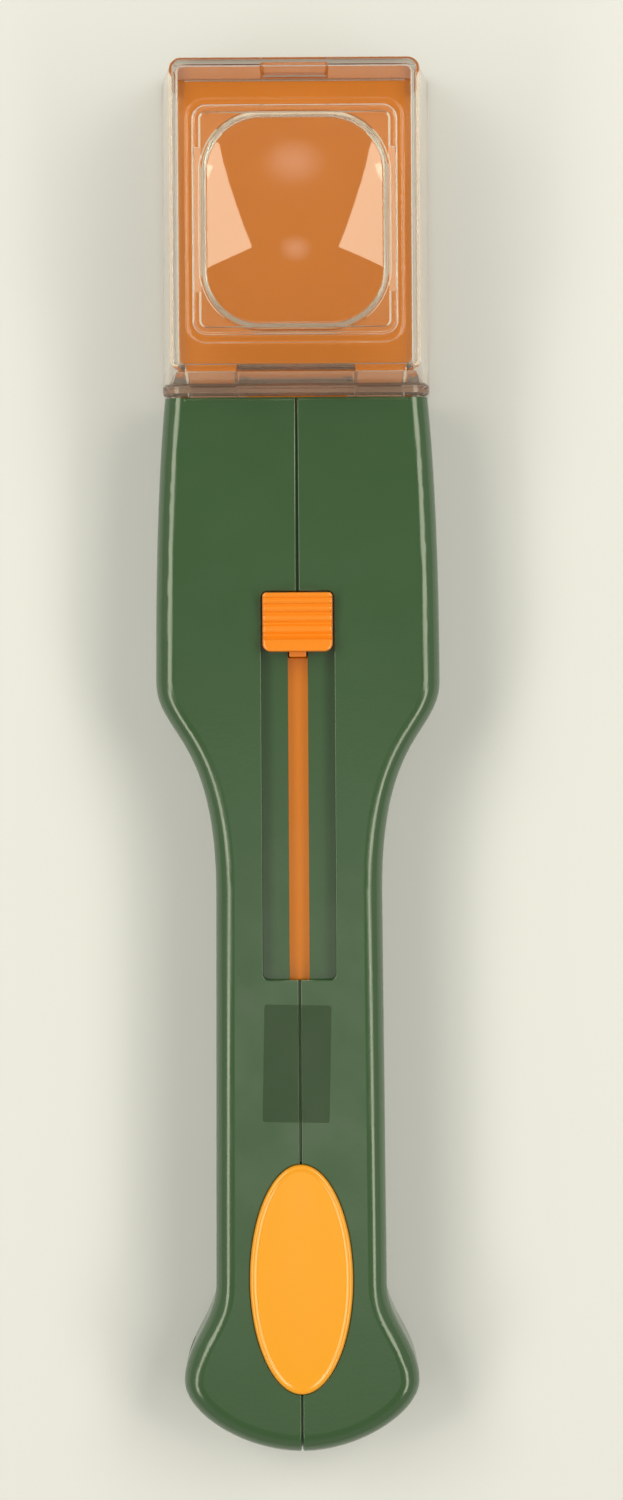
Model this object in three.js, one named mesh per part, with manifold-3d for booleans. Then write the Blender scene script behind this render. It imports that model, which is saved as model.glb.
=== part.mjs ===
// Bug viewer: a clear catching chamber with a magnifier lens, on the end of a two-part handle.
// A thumb button slides a flat trap door across the chamber's open side, or back into the handle's head.
// Millimetres. X runs across the handle, Y from the foot to the chamber, Z up to the lens side.
// The viewer lies on its back: the handle's back and the chamber's rim are at Z = 0.

import * as THREE from 'three';
import { mergeVertices } from 'three/addons/utils/BufferGeometryUtils.js';
import Module from 'manifold-3d';

const wasm = await Module();
wasm.setup();

// Clearances
const SLIDE_GAP = 0.3; // between the sliding pieces and what guides them
const SEAT_GAP = 0.25; // between fixed pieces and their seats
const SEAM_GAP = 0.3; // between the two handle shells

// Handle outline: half widths are worked out from these widths, heights are measured from the foot end
const HANDLE_LENGTH = 216.1; // foot end to the head's mouth
const MOUTH_WIDTH = 53.9;
const SHOULDER_WIDTH = 58.2;
const NECK_WIDTH = 34.1; // where the grip meets the shoulder curve
const GRIP_WIDTH = 35; // at the grip's lower end
const FOOT_WIDTH = 48.2;
const FOOT_HEIGHT = 14.5; // to the foot's widest place
const GRIP_START = 34.5;
const NECK_HEIGHT = 115;
const SHOULDER_HEIGHT = 158;
const HEAD_BEND = 23; // from the mouth down to where the head's sides start to draw in

// How far the outline's curves keep their first direction, as shares of what they span
const FOOT_END_PULL = 0.5;
const FOOT_CORNER_PULL = 0.45;
const FLARE_PULL = 0.38;
const NECK_PULL = 0.75;
const SHOULDER_PULL = 0.25;

// Handle shells
const HANDLE_THICKNESS = 24;
const WALL = 2;
const EDGE_RADIUS = 4;

// Thumb slot: a recess whose floor has a slit for the button's neck
const SLOT_TO_MOUTH = 39.7; // from the mouth down to the slot's upper end
const SLOT_LENGTH = 79.5;
const SLOT_WIDTH = 14.9;
const SLOT_DEPTH = 2.6;
const SLOT_CORNER = 1.2;
const SLOT_FLOOR = 2;
const SLOT_WALL = 1.6;
const SLIT_WIDTH = 4.1;

// Thumb button, with grip grooves that spread out towards its lower end
const BUTTON_LENGTH = 11.8;
const BUTTON_RISE = 3; // above the handle's front face
const BUTTON_DISH = 0.9;
const BUTTON_END_GAP = 0.6; // to the slot's ends at both limits
const BUTTON_TOP_CORNER = 0.8;
const BUTTON_LOW_CORNER = 1.7;
const GROOVE_COUNT = 5;
const GROOVE_DEPTH = 0.45;
const GROOVE_WIDTH = 0.9;
const GROOVE_FIRST = 1.05; // from the button's upper end
const GROOVE_PITCH = 1.35;
const GROOVE_GROWTH = 0.35; // each pitch is longer than the last by this
const NECK_LENGTH = 10.5; // of the button's neck, which reaches past its lower end
const NECK_REACH = 1;

// Slide bar, which carries the button and the door
const BAR_WIDTH = 9;
const BAR_THICKNESS = 3;
const BAR_TAIL = 6; // past the slot's lower end when the door is closed
const WEB_WIDTH = 3.2;
const WEB_LENGTH = 10;
const WEB_TO_MOUTH = 3; // the web stays this far inside the mouth when the door is closed

// Trap door
const DOOR_WIDTH = 48.8;
const DOOR_THICKNESS = 1.8;
const DOOR_TIP_GAP = 0.5; // to the chamber's far wall
const DOOR_CORNER_LENGTH = 7; // slanted rear corners, which clear the shoulders
const DOOR_CORNER_WIDTH = 4.4;
const DOOR_REAR = 2; // the full width starts this far past the mouth
const TONGUE_WIDTH = 16;
const SOCKET_WALL = 2;
const SOCKET_HEIGHT = 4;

// Viewing chamber: its walls lean in from the open rim to the front plate
const CHAMBER_LENGTH = 69.9; // mouth to the far end of the rim
const CHAMBER_HEIGHT = 36;
const RIM_WIDTH = 56;
const PLATE_WIDTH = 50.4;
const FAR_LEAN = 2.5;
const NEAR_LEAN = 1.4;
const CHAMBER_WALL = 1.6;
const CHAMBER_CORNER = 2.4;
const PLATE_THICKNESS = 2;
const FLANGE_THICKNESS = 2.6;
const FLANGE_STEP = 0.4; // the flange is wider than the mouth by this on each side
const RAIL_REACH = 1.4; // how far the rails hold the door's edges
const RAIL_HEIGHT = 1.4;
const PANEL_DEPTH = 0.6; // thin panels moulded into the end walls
const FAR_PANEL_WIDTH = 14; // in the middle of the far wall
const NEAR_RIB_WIDTH = 23.6; // what is left thick in the middle of the near wall
const TAB_WIDTH = 11.2;
const TAB_LENGTH = 8;
const TAB_THICKNESS = 2;
const TAB_SPACING = 32; // between the middles of the two tabs
const CATCH_SIZE = 3;

// Magnifier lens: a rounded rectangle with a rim all round
const LENS_WIDTH = 37.7;
const LENS_LENGTH = 43.5;
const LENS_CORNER = 12;
const LENS_DIAMETER = 47.2; // of the circle where its two round faces reach the level of its rim
const LENS_EDGE = 1;
const LENS_FRONT_RADIUS = 60;
const LENS_BACK_RADIUS = 1000;
const LENS_LIP = 1; // how far the plate and the frame hold the lens's edge
const LENS_FROM_MOUTH = 34.4; // to the lens's middle
const BOSS_WIDTH = 43.5;
const BOSS_LENGTH = 49.2;
const BOSS_CORNER = 3.8;
const BOSS_RISE = 1;
const FRAME_WIDTH = 40.9;
const FRAME_LENGTH = 46;
const FRAME_CORNER = 2.8;
const FRAME_THICKNESS = 1.2;
const FRAME_RIB = 1;
const FRAME_RIB_RISE = 0.5;
const FRAME_RIB_BREAK = 29; // the rib is left out along the middle of the frame's long sides

// Oval inlay near the foot
const INLAY_WIDTH = 21.1;
const INLAY_LENGTH = 47;
const INLAY_HEIGHT = 35.7; // foot end to its middle
const INLAY_DEPTH = 1.4;
const INLAY_RISE = 0.8;
const INLAY_BEVEL = 0.6;
const INLAY_PAD = 1.4; // thickening of the shells under the inlay
const POST_DIAMETER = 3;
const POST_SPACING = 24;

// Screws, which go in from the left shell's flank
const SCREW_HEIGHTS = [19, 55, 91, 127]; // from the foot end
const SCREW_HEAD_DIAMETER = 5;
const SCREW_HEAD_LENGTH = 2;
const SCREW_SHANK_DIAMETER = 2.6;
const SCREW_REACH = 9; // shank past the seam
const SCREW_SEAT = 6; // seam to the underside of the head
const SCREW_DRIVE_WIDTH = 0.8;
const SCREW_DRIVE_SPAN = 2.8;
const SCREW_DRIVE_DEPTH = 1;
const BOSS_WALL = 1.3;

// Bar guides inside the grip, and the guides over the door inside the head
const GUIDE_HEIGHTS = [37, 73, 109]; // from the foot end
const GUIDE_THICKNESS = 1.5;
const DOOR_GUIDE_HEIGHT = 1.5;
const DOOR_GUIDE_REACH = 2.4; // over the door's edge
const DOOR_GUIDE_LENGTH = 56;

const PAST = 10; // how far cutting bodies run past the outside of what they cut
const ROOT = 1; // how far joined bodies reach into each other, and short cuts run past their face
const MERGE_DISTANCE = 1e-4;
const LEAST_CORNER = 0.5; // of the chamber's inside
const EDGE_STEPS = 3;
const OUTLINE_STEPS = 12;
const CURVE_STEPS = 4;
const ROUND_STEPS = 20;
const LENS_STEPS = 36;
const LENS_RINGS = 6;
const LENS_CORNER_STEPS = 8;

// Places along Y
const yFoot = -(HANDLE_LENGTH + CHAMBER_LENGTH) / 2;
const yMouth = yFoot + HANDLE_LENGTH;
const yFar = yMouth + CHAMBER_LENGTH;
const ySlotTop = yMouth - SLOT_TO_MOUTH;
const ySlotLow = ySlotTop - SLOT_LENGTH;
const yButtonTop = ySlotTop - BUTTON_END_GAP;
const yButtonLow = yButtonTop - BUTTON_LENGTH;
const yNeckLow = yButtonLow - NECK_REACH;
const yWebTop = yMouth - WEB_TO_MOUTH;
const yWebLow = yWebTop - WEB_LENGTH;
const yFlange = yMouth + SEAT_GAP;
const yLens = yMouth + LENS_FROM_MOUTH;
const yInlay = yFoot + INLAY_HEIGHT;

// Levels along Z
const zFront = HANDLE_THICKNESS;
const zDoorLow = WALL + SLIDE_GAP;
const zDoorTop = zDoorLow + DOOR_THICKNESS;
const zDoorRoof = zDoorTop + SLIDE_GAP;
const zFloorTop = zFront - SLOT_DEPTH;
const zFloorLow = zFloorTop - SLOT_FLOOR;
const zBarTop = zFloorLow - SLIDE_GAP;
const zBarLow = zBarTop - BAR_THICKNESS;
const zScrew = (WALL + zBarLow) / 2;
const zPlateLow = CHAMBER_HEIGHT - PLATE_THICKNESS;
const zLensSeat = zPlateLow + PLATE_THICKNESS / 2;
const zLensLow = zLensSeat + SEAT_GAP;
const zLensEdge = zLensLow + LENS_EDGE;
const zFrameLow = zLensEdge + SEAT_GAP;
const zBossTop = zFrameLow + BOSS_RISE;

// Solids

function solidOf(geometry) {
  geometry.deleteAttribute('normal');
  geometry.deleteAttribute('uv');
  const merged = mergeVertices(geometry, MERGE_DISTANCE);
  return new wasm.Manifold(new wasm.Mesh({
    numProp: 3,
    vertProperties: merged.getAttribute('position').array,
    triVerts: new Uint32Array(merged.getIndex().array),
  }));
}

function geometryOf(solid) {
  const mesh = solid.getMesh();
  const geometry = new THREE.BufferGeometry();
  geometry.setAttribute('position', new THREE.BufferAttribute(mesh.vertProperties, mesh.numProp));
  geometry.setIndex(new THREE.BufferAttribute(mesh.triVerts, 1));
  geometry.computeVertexNormals();
  return geometry;
}

function box([x0, x1], [y0, y1], [z0, z1]) {
  const geometry = new THREE.BoxGeometry(Math.abs(x1 - x0), Math.abs(y1 - y0), Math.abs(z1 - z0));
  return solidOf(geometry.translate((x0 + x1) / 2, (y0 + y1) / 2, (z0 + z1) / 2));
}

function prismGeometry(shape, low, high, steps = CURVE_STEPS) {
  const settings = { depth: high - low, bevelEnabled: false, curveSegments: steps };
  return new THREE.ExtrudeGeometry(shape, settings).translate(0, 0, low);
}

const X_AXIS = new THREE.Vector3(1, 0, 0);
const Y_AXIS = new THREE.Vector3(0, 1, 0);
const Z_AXIS = new THREE.Vector3(0, 0, 1);

const prism = (shape, low, high, steps) => solidOf(prismGeometry(shape, low, high, steps));

// A shape drawn in (Y, Z) and run along X
function prismAlongX(shape, low, high) {
  const turn = new THREE.Matrix4().makeBasis(Y_AXIS, Z_AXIS, X_AXIS);
  return solidOf(prismGeometry(shape, low, high).applyMatrix4(turn));
}

// A shape drawn in (X, Z) and run along Y
function prismAlongY(shape, low, high) {
  const turn = new THREE.Matrix4().makeBasis(X_AXIS, Z_AXIS, Y_AXIS.clone().negate());
  return solidOf(prismGeometry(shape, -high, -low).applyMatrix4(turn));
}

// A prism whose top and bottom edges are rounded
function roundedPrism(shape, low, high, radius) {
  const settings = {
    depth: high - low - 2 * radius, bevelThickness: radius, bevelSize: radius, bevelOffset: -radius,
    bevelSegments: EDGE_STEPS, curveSegments: ROUND_STEPS,
  };
  return solidOf(new THREE.ExtrudeGeometry(shape, settings).translate(0, 0, low + radius));
}

function rodAlongX([x0, x1], y, z, diameter) {
  const geometry = new THREE.CylinderGeometry(diameter / 2, diameter / 2, Math.abs(x1 - x0), ROUND_STEPS);
  return solidOf(geometry.rotateZ(Math.PI / 2).translate((x0 + x1) / 2, y, z));
}

function rodAlongZ(x, y, [z0, z1], diameter) {
  const geometry = new THREE.CylinderGeometry(diameter / 2, diameter / 2, z1 - z0, ROUND_STEPS);
  return solidOf(geometry.rotateX(Math.PI / 2).translate(x, y, (z0 + z1) / 2));
}

// Outlines

function roundedRectangle(width, height, x, y, low, high = low) {
  const [left, right] = [x - width / 2, x + width / 2];
  const [bottom, top] = [y - height / 2, y + height / 2];
  const shape = new THREE.Shape();
  shape.moveTo(left + low, bottom);
  shape.lineTo(right - low, bottom);
  shape.absarc(right - low, bottom + low, low, -Math.PI / 2, 0);
  shape.lineTo(right, top - high);
  shape.absarc(right - high, top - high, high, 0, Math.PI / 2);
  shape.lineTo(left + high, top);
  shape.absarc(left + high, top - high, high, Math.PI / 2, Math.PI);
  shape.lineTo(left, bottom + low);
  shape.absarc(left + low, bottom + low, low, Math.PI, 1.5 * Math.PI);
  return shape;
}

// The lens's outline moved out by grow, as a body between two levels
function lensPrism(grow, low, high) {
  const outline = roundedRectangle(LENS_WIDTH + 2 * grow, LENS_LENGTH + 2 * grow, 0, yLens, LENS_CORNER + grow);
  return prism(outline, low, high, LENS_CORNER_STEPS);
}

function ellipse(width, length, y) {
  return new THREE.Shape().absellipse(0, y, width / 2, length / 2, 0, 2 * Math.PI);
}

// Right half of the handle's outline, from the foot's lowest point to past the mouth
function handleHalf() {
  const [foot, grip, neck] = [FOOT_WIDTH / 2, GRIP_WIDTH / 2, NECK_WIDTH / 2];
  const [shoulder, mouth] = [SHOULDER_WIDTH / 2, MOUTH_WIDTH / 2];
  const [yFlare, yGrip] = [yFoot + FOOT_HEIGHT, yFoot + GRIP_START];
  const [yNeck, yShoulder] = [yFoot + NECK_HEIGHT, yFoot + SHOULDER_HEIGHT];
  const flareHandle = FLARE_PULL * (yGrip - yFlare);
  const rise = yShoulder - yNeck;
  const path = new THREE.Path();
  path.moveTo(0, yFoot);
  path.bezierCurveTo(
    FOOT_END_PULL * foot, yFoot, foot, yFlare - FOOT_CORNER_PULL * FOOT_HEIGHT, foot, yFlare);
  path.bezierCurveTo(foot, yFlare + flareHandle, grip, yGrip - flareHandle, grip, yGrip);
  path.lineTo(neck, yNeck);
  path.bezierCurveTo(
    neck, yNeck + NECK_PULL * rise, shoulder, yShoulder - SHOULDER_PULL * rise, shoulder, yShoulder);
  path.quadraticCurveTo(shoulder, yMouth - HEAD_BEND, mouth, yMouth);
  path.lineTo(mouth, yMouth + PAST);
  return path.getPoints(OUTLINE_STEPS);
}

// The handle's outline drawn in by inset, as a closed shape
function handleOutline(inset) {
  const points = handleHalf();
  const drawn = points.map((point, i) => {
    const ahead = points[Math.min(i + 1, points.length - 1)];
    const behind = points[Math.max(i - 1, 0)];
    const along = i === 0 ? new THREE.Vector2(1, 0) : ahead.clone().sub(behind).normalize();
    return new THREE.Vector2(point.x - inset * along.y, point.y + inset * along.x);
  });
  const mirrored = drawn.slice(1).reverse().map((point) => new THREE.Vector2(-point.x, point.y));
  return new THREE.Shape([...drawn, ...mirrored]);
}

// Handle shells

function handleBody() {
  const settings = {
    depth: HANDLE_THICKNESS - 2 * EDGE_RADIUS, bevelThickness: EDGE_RADIUS, bevelSize: EDGE_RADIUS,
    bevelOffset: -EDGE_RADIUS, bevelSegments: EDGE_STEPS,
  };
  const geometry = new THREE.ExtrudeGeometry(handleOutline(0), settings).translate(0, 0, EDGE_RADIUS);
  const half = SHOULDER_WIDTH;
  return solidOf(geometry).intersect(box([-half, half], [yFoot - PAST, yMouth], [-PAST, zFront + PAST]));
}

// The trough that hangs under the thumb slot, still without its recess
function slotTrough() {
  const half = SLOT_WIDTH / 2 + SLOT_WALL;
  return box([-half, half], [ySlotLow - SLOT_WALL, ySlotTop + SLOT_WALL], [zFloorLow, zFront - WALL / 2]);
}

function slotCut() {
  const middle = (ySlotTop + ySlotLow) / 2;
  const recess = roundedRectangle(SLOT_WIDTH, SLOT_LENGTH, 0, middle, SLOT_CORNER);
  const slitLow = zFloorLow - SLIDE_GAP / 2;
  const slit = box([-SLIT_WIDTH / 2, SLIT_WIDTH / 2], [ySlotLow, ySlotTop], [slitLow, zFront]);
  return prism(recess, zFloorTop, zFront + PAST).add(slit);
}

function inlaySeat() {
  const seat = ellipse(INLAY_WIDTH + 2 * SEAT_GAP, INLAY_LENGTH + 2 * SEAT_GAP, yInlay);
  const hole = POST_DIAMETER + 2 * SEAT_GAP;
  const posts = inlayPostPlaces().map((y) => rodAlongZ(0, y, [zFloorLow, zFront], hole));
  return posts.reduce(
    (cut, post) => cut.add(post),
    prism(seat, zFront - INLAY_DEPTH, zFront + PAST, ROUND_STEPS));
}

function inlayPad() {
  const pad = ellipse(INLAY_WIDTH + 2 * WALL, INLAY_LENGTH + 2 * WALL, yInlay);
  return prism(pad, zFront - INLAY_DEPTH - INLAY_PAD, zFront - WALL / 2);
}

function inlayPostPlaces() {
  return [yInlay - POST_SPACING / 2, yInlay + POST_SPACING / 2];
}

// Ribs across the grip that carry the bar, with a passage for it
function barGuides() {
  const reach = SHOULDER_WIDTH / 2;
  const passage = BAR_WIDTH / 2 + SLIDE_GAP;
  return GUIDE_HEIGHTS.map((height) => {
    const y = yFoot + height;
    const span = [y - GUIDE_THICKNESS / 2, y + GUIDE_THICKNESS / 2];
    const rib = box([-reach, reach], span, [WALL / 2, zFront - WALL / 2]);
    const cut = [span[0] - ROOT, span[1] + ROOT];
    return rib.subtract(box([-passage, passage], cut, [zBarLow - SLIDE_GAP, zFront]));
  });
}

// Rails inside the head that keep the door down
function doorGuide(side) {
  const inner = DOOR_WIDTH / 2 - DOOR_GUIDE_REACH;
  const span = [yMouth - DOOR_GUIDE_LENGTH, yMouth - TAB_LENGTH];
  return box([side * inner, side * SHOULDER_WIDTH / 2], span, [zDoorRoof, zDoorRoof + DOOR_GUIDE_HEIGHT]);
}

// The catch that drops into the window of the chamber's tab
function tabCatch(side) {
  const x = side * TAB_SPACING / 2;
  const y = yMouth - TAB_LENGTH / 2;
  const half = CATCH_SIZE / 2;
  return box([x - half, x + half], [y - half, y + half], [zFront - WALL - TAB_THICKNESS, zFront - WALL / 2]);
}

const wellDiameter = SCREW_HEAD_DIAMETER + 4 * SEAT_GAP;
const screwHole = SCREW_SHANK_DIAMETER + 2 * SEAT_GAP;

// Screw bosses meet at the seam: the left ones hold the head's well, the right ones the thread
function screwBosses(side) {
  const outer = side * SHOULDER_WIDTH / 2;
  const diameter = side < 0 ? wellDiameter + 2 * BOSS_WALL : screwHole + 4 * BOSS_WALL;
  return SCREW_HEIGHTS.map((height) => rodAlongX([0, outer], yFoot + height, zScrew, diameter));
}

function screwCuts(side) {
  return SCREW_HEIGHTS.flatMap((height) => {
    const y = yFoot + height;
    if (side > 0) return [rodAlongX([-ROOT, SCREW_REACH + SLIDE_GAP], y, zScrew, screwHole)];
    const hole = rodAlongX([ROOT, -SCREW_SEAT - ROOT], y, zScrew, screwHole);
    return [hole, rodAlongX([-SCREW_SEAT, -SHOULDER_WIDTH], y, zScrew, wellDiameter)];
  });
}

function handleShell(side) {
  const body = handleBody();
  const cavity = prism(handleOutline(WALL), WALL, zFront - WALL);
  const inside = [slotTrough(), inlayPad(), tabCatch(side), doorGuide(side), ...screwBosses(side), ...barGuides()];
  const filled = inside.reduce((shell, piece) => shell.add(piece), body.subtract(cavity)).intersect(body);
  const cuts = [slotCut(), inlaySeat(), ...screwCuts(side)];
  const hollow = cuts.reduce((shell, cut) => shell.subtract(cut), filled);
  const keep = box([side * SEAM_GAP / 2, side * SHOULDER_WIDTH], [yFoot - PAST, yMouth], [-PAST, zFront + PAST]);
  return hollow.intersect(keep);
}

// Slide: button, bar and door

// The button's top in profile: a shallow dish with grooves, from its lower to its upper end
function buttonProfile() {
  const top = (y) => zFront + BUTTON_RISE - BUTTON_DISH * Math.sin(Math.PI * (yButtonTop - y) / BUTTON_LENGTH);
  const profile = [new THREE.Vector2(yButtonTop, top(yButtonTop))];
  let y = yButtonTop - GROOVE_FIRST;
  for (let groove = 0; groove < GROOVE_COUNT; groove += 1) {
    for (const share of [0.5, 0, -0.5]) {
      const place = y + share * GROOVE_WIDTH;
      profile.push(new THREE.Vector2(place, top(place) - (share === 0 ? GROOVE_DEPTH : 0)));
    }
    y -= GROOVE_PITCH + groove * GROOVE_GROWTH;
  }
  profile.push(new THREE.Vector2(yButtonLow, top(yButtonLow)));
  const bottom = zFloorTop + SLIDE_GAP;
  return new THREE.Shape([
    ...profile, new THREE.Vector2(yButtonLow, bottom), new THREE.Vector2(yButtonTop, bottom)]);
}

const neckWidth = SLIT_WIDTH - 2 * SLIDE_GAP;

function thumbButton() {
  const width = SLOT_WIDTH - 2 * SLIDE_GAP;
  const middle = (yButtonTop + yButtonLow) / 2;
  const plan = roundedRectangle(width, BUTTON_LENGTH, 0, middle, BUTTON_LOW_CORNER, BUTTON_TOP_CORNER);
  const cap = prismAlongX(buttonProfile(), -width / 2, width / 2)
    .intersect(prism(plan, zFloorTop, zFront + BUTTON_RISE + PAST));
  const neckHigh = zFloorTop + SLIDE_GAP + ROOT;
  const neck = box(
    [-neckWidth / 2, neckWidth / 2], [yNeckLow, yNeckLow + NECK_LENGTH], [zBarLow + SEAT_GAP, neckHigh]);
  return cap.add(neck);
}

function slideBar() {
  const half = BAR_WIDTH / 2;
  const bar = box([-half, half], [ySlotLow - BAR_TAIL, yWebTop], [zBarLow, zBarTop]);
  const web = box([-WEB_WIDTH / 2, WEB_WIDTH / 2], [yWebLow, yWebTop], [zDoorTop + SEAT_GAP, zBarLow + ROOT]);
  const pocketHalf = neckWidth / 2 + SEAT_GAP;
  const pocket = [yNeckLow - SEAT_GAP, yNeckLow + NECK_LENGTH + SEAT_GAP];
  return bar.add(web).subtract(box([-pocketHalf, pocketHalf], pocket, [zBarLow - ROOT, zBarTop + ROOT]));
}

function trapDoor() {
  const half = DOOR_WIDTH / 2;
  const tongue = TONGUE_WIDTH / 2;
  const tip = yFar - CHAMBER_WALL - DOOR_TIP_GAP;
  const rear = yMouth + DOOR_REAR;
  const tail = yWebLow - SEAT_GAP - SOCKET_WALL;
  const side = [
    [tongue, tail], [tongue, rear - DOOR_CORNER_LENGTH], [half - DOOR_CORNER_WIDTH, rear - DOOR_CORNER_LENGTH],
    [half, rear], [half, tip]];
  const outline = [...side, ...side.map(([x, y]) => [-x, y]).reverse()];
  const plate = prism(new THREE.Shape(outline.map(([x, y]) => new THREE.Vector2(x, y))), zDoorLow, zDoorTop);
  const pocketHalf = WEB_WIDTH / 2 + SEAT_GAP;
  const socketHalf = pocketHalf + SOCKET_WALL;
  const socketTop = yMouth - SEAT_GAP;
  const socket = box([-socketHalf, socketHalf], [tail, socketTop], [zDoorLow, zDoorTop + SOCKET_HEIGHT]);
  const pocket = [yWebLow - SEAT_GAP, yWebTop + SEAT_GAP];
  return plate.add(socket).subtract(
    box([-pocketHalf, pocketHalf], pocket, [zDoorTop, zDoorTop + SOCKET_HEIGHT + ROOT]));
}

// Viewing chamber

// A block whose sides lean in from the rim to the front plate, drawn in by inset
function leaningBlock(inset, high) {
  const rim = { half: RIM_WIDTH / 2 - inset, near: yFlange + inset, far: yFar - inset };
  const plate = {
    half: PLATE_WIDTH / 2 - inset, near: yFlange + NEAR_LEAN + FLANGE_THICKNESS + inset, far: yFar - FAR_LEAN - inset,
  };
  const corner = Math.max(CHAMBER_CORNER - inset, LEAST_CORNER);
  const outline = roundedRectangle(2 * rim.half, rim.far - rim.near, 0, (rim.far + rim.near) / 2, corner);
  const geometry = prismGeometry(outline, 0, high);
  const place = geometry.getAttribute('position');
  for (let i = 0; i < place.count; i += 1) {
    const share = place.getZ(i) / CHAMBER_HEIGHT;
    const along = (place.getY(i) - rim.near) / (rim.far - rim.near);
    const near = rim.near + share * (plate.near - rim.near);
    const far = rim.far + share * (plate.far - rim.far);
    const half = rim.half + share * (plate.half - rim.half);
    place.setXY(i, place.getX(i) * half / rim.half, near + along * (far - near));
  }
  return solidOf(geometry);
}

// The flange closes the handle's mouth and has the same rounded section
function chamberFlange() {
  const width = MOUTH_WIDTH + 2 * FLANGE_STEP;
  const section = roundedRectangle(width, HANDLE_THICKNESS, 0, HANDLE_THICKNESS / 2, EDGE_RADIUS);
  return prismAlongY(section, yFlange, yFlange + FLANGE_THICKNESS);
}

// A tab reaches into the head and has a window for the shell's catch
function chamberTab(side) {
  const x = side * TAB_SPACING / 2;
  const top = zFront - WALL - SEAT_GAP;
  const y = yMouth - TAB_LENGTH / 2;
  const half = CATCH_SIZE / 2 + SEAT_GAP;
  const tab = box(
    [x - TAB_WIDTH / 2, x + TAB_WIDTH / 2], [yMouth - TAB_LENGTH, yFlange + ROOT], [top - TAB_THICKNESS, top]);
  const window = [top - TAB_THICKNESS - ROOT, top + ROOT];
  return tab.subtract(box([x - half, x + half], [y - half, y + half], window));
}

// Rails along both walls, whose grooves guide the door
function chamberRails(hull) {
  const inner = DOOR_WIDTH / 2 - RAIL_REACH;
  const outer = RIM_WIDTH / 2;
  const span = [yFlange, yFar - CHAMBER_WALL / 2];
  const rail = (side) => box([side * inner, side * outer], span, [0, zDoorRoof + RAIL_HEIGHT]);
  return rail(-1).add(rail(1)).intersect(hull);
}

// Thin panels in the end walls: one in the middle of the far wall, one on each side of the near wall's rib
function wallPanels(hollow) {
  const high = [zDoorRoof + RAIL_HEIGHT, zPlateLow];
  const slab = (width) => box([-width / 2, width / 2], [yMouth - PAST, yFar + PAST], high);
  const deeper = (step) => hollow.translate([0, step * PANEL_DEPTH, 0]);
  const far = deeper(1).intersect(slab(FAR_PANEL_WIDTH));
  return far.add(deeper(-1).intersect(slab(RIM_WIDTH).subtract(slab(NEAR_RIB_WIDTH))));
}

function lensBoss() {
  const boss = roundedRectangle(BOSS_WIDTH, BOSS_LENGTH, 0, yLens, BOSS_CORNER);
  return prism(boss, zPlateLow, zBossTop);
}

function lensSeat() {
  const pocket = roundedRectangle(
    FRAME_WIDTH + 2 * SEAT_GAP, FRAME_LENGTH + 2 * SEAT_GAP, 0, yLens, FRAME_CORNER + SEAT_GAP);
  return lensPrism(-LENS_LIP, zPlateLow - ROOT, zBossTop)
    .add(lensPrism(SEAT_GAP, zLensSeat, zBossTop))
    .add(prism(pocket, zFrameLow - SEAT_GAP, zBossTop + ROOT));
}

function viewingChamber() {
  const hull = leaningBlock(0, CHAMBER_HEIGHT);
  const hollow = leaningBlock(CHAMBER_WALL, zPlateLow);
  const door = DOOR_WIDTH / 2 + SLIDE_GAP;
  const groove = box([-door, door], [yMouth - PAST, yFar - CHAMBER_WALL], [WALL, zDoorRoof]);
  const mouth = hollow.subtract(box([-RIM_WIDTH, RIM_WIDTH], [yMouth, yFlange + FLANGE_THICKNESS], [0, CHAMBER_HEIGHT]));
  return hull.add(chamberFlange()).subtract(mouth).add(chamberRails(hull)).add(lensBoss())
    .add(chamberTab(-1)).add(chamberTab(1))
    .subtract(wallPanels(mouth)).subtract(groove).subtract(lensSeat());
}

// Lens and its frame

// A thin rim, held all round, with a dome on both sides of it
function magnifierLens() {
  const radius = LENS_DIAMETER / 2;
  const arc = (curve) => Array.from({ length: LENS_RINGS + 1 }, (_, i) => {
    const out = radius * i / LENS_RINGS;
    const sag = Math.sqrt(curve * curve - out * out) - Math.sqrt(curve * curve - radius * radius);
    return [out, sag];
  });
  const back = arc(LENS_BACK_RADIUS).map(([out, sag]) => new THREE.Vector2(out, zLensLow - sag));
  const front = arc(LENS_FRONT_RADIUS).map(([out, sag]) => new THREE.Vector2(out, zLensEdge + sag)).reverse();
  const round = new THREE.LatheGeometry([...back, ...front], LENS_STEPS).rotateX(Math.PI / 2);
  const dome = lensPrism(-LENS_LIP - SEAT_GAP, zLensLow - LENS_DIAMETER, zLensEdge + LENS_DIAMETER);
  const rim = lensPrism(0, zLensLow, zLensEdge);
  return solidOf(round.translate(0, yLens, 0)).intersect(dome).add(rim);
}

function lensFrame() {
  const outline = (inset) => roundedRectangle(
    FRAME_WIDTH - 2 * inset, FRAME_LENGTH - 2 * inset, 0, yLens, FRAME_CORNER - inset);
  const top = zFrameLow + FRAME_THICKNESS;
  const ribTop = top + FRAME_RIB_RISE;
  const breakSpan = [yLens - FRAME_RIB_BREAK / 2, yLens + FRAME_RIB_BREAK / 2];
  return prism(outline(0), zFrameLow, ribTop)
    .subtract(prism(outline(FRAME_RIB), top, ribTop + ROOT))
    .subtract(box([-FRAME_WIDTH, FRAME_WIDTH], breakSpan, [top, ribTop + ROOT]))
    .subtract(lensPrism(-LENS_LIP, zFrameLow - ROOT, ribTop + ROOT));
}

// Inlay and screws

function ovalInlay() {
  const low = zFront - INLAY_DEPTH + SEAT_GAP;
  const top = zFront + INLAY_RISE;
  const outline = ellipse(INLAY_WIDTH, INLAY_LENGTH, yInlay);
  const plate = roundedPrism(outline, low - 2 * INLAY_BEVEL, top, INLAY_BEVEL)
    .intersect(box([-INLAY_WIDTH, INLAY_WIDTH], [yFoot, yMouth], [low, top + ROOT]));
  const postLow = zFront - INLAY_DEPTH - INLAY_PAD;
  return inlayPostPlaces()
    .map((y) => rodAlongZ(0, y, [postLow, low + INLAY_BEVEL], POST_DIAMETER))
    .reduce((inlay, post) => inlay.add(post), plate);
}

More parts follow.
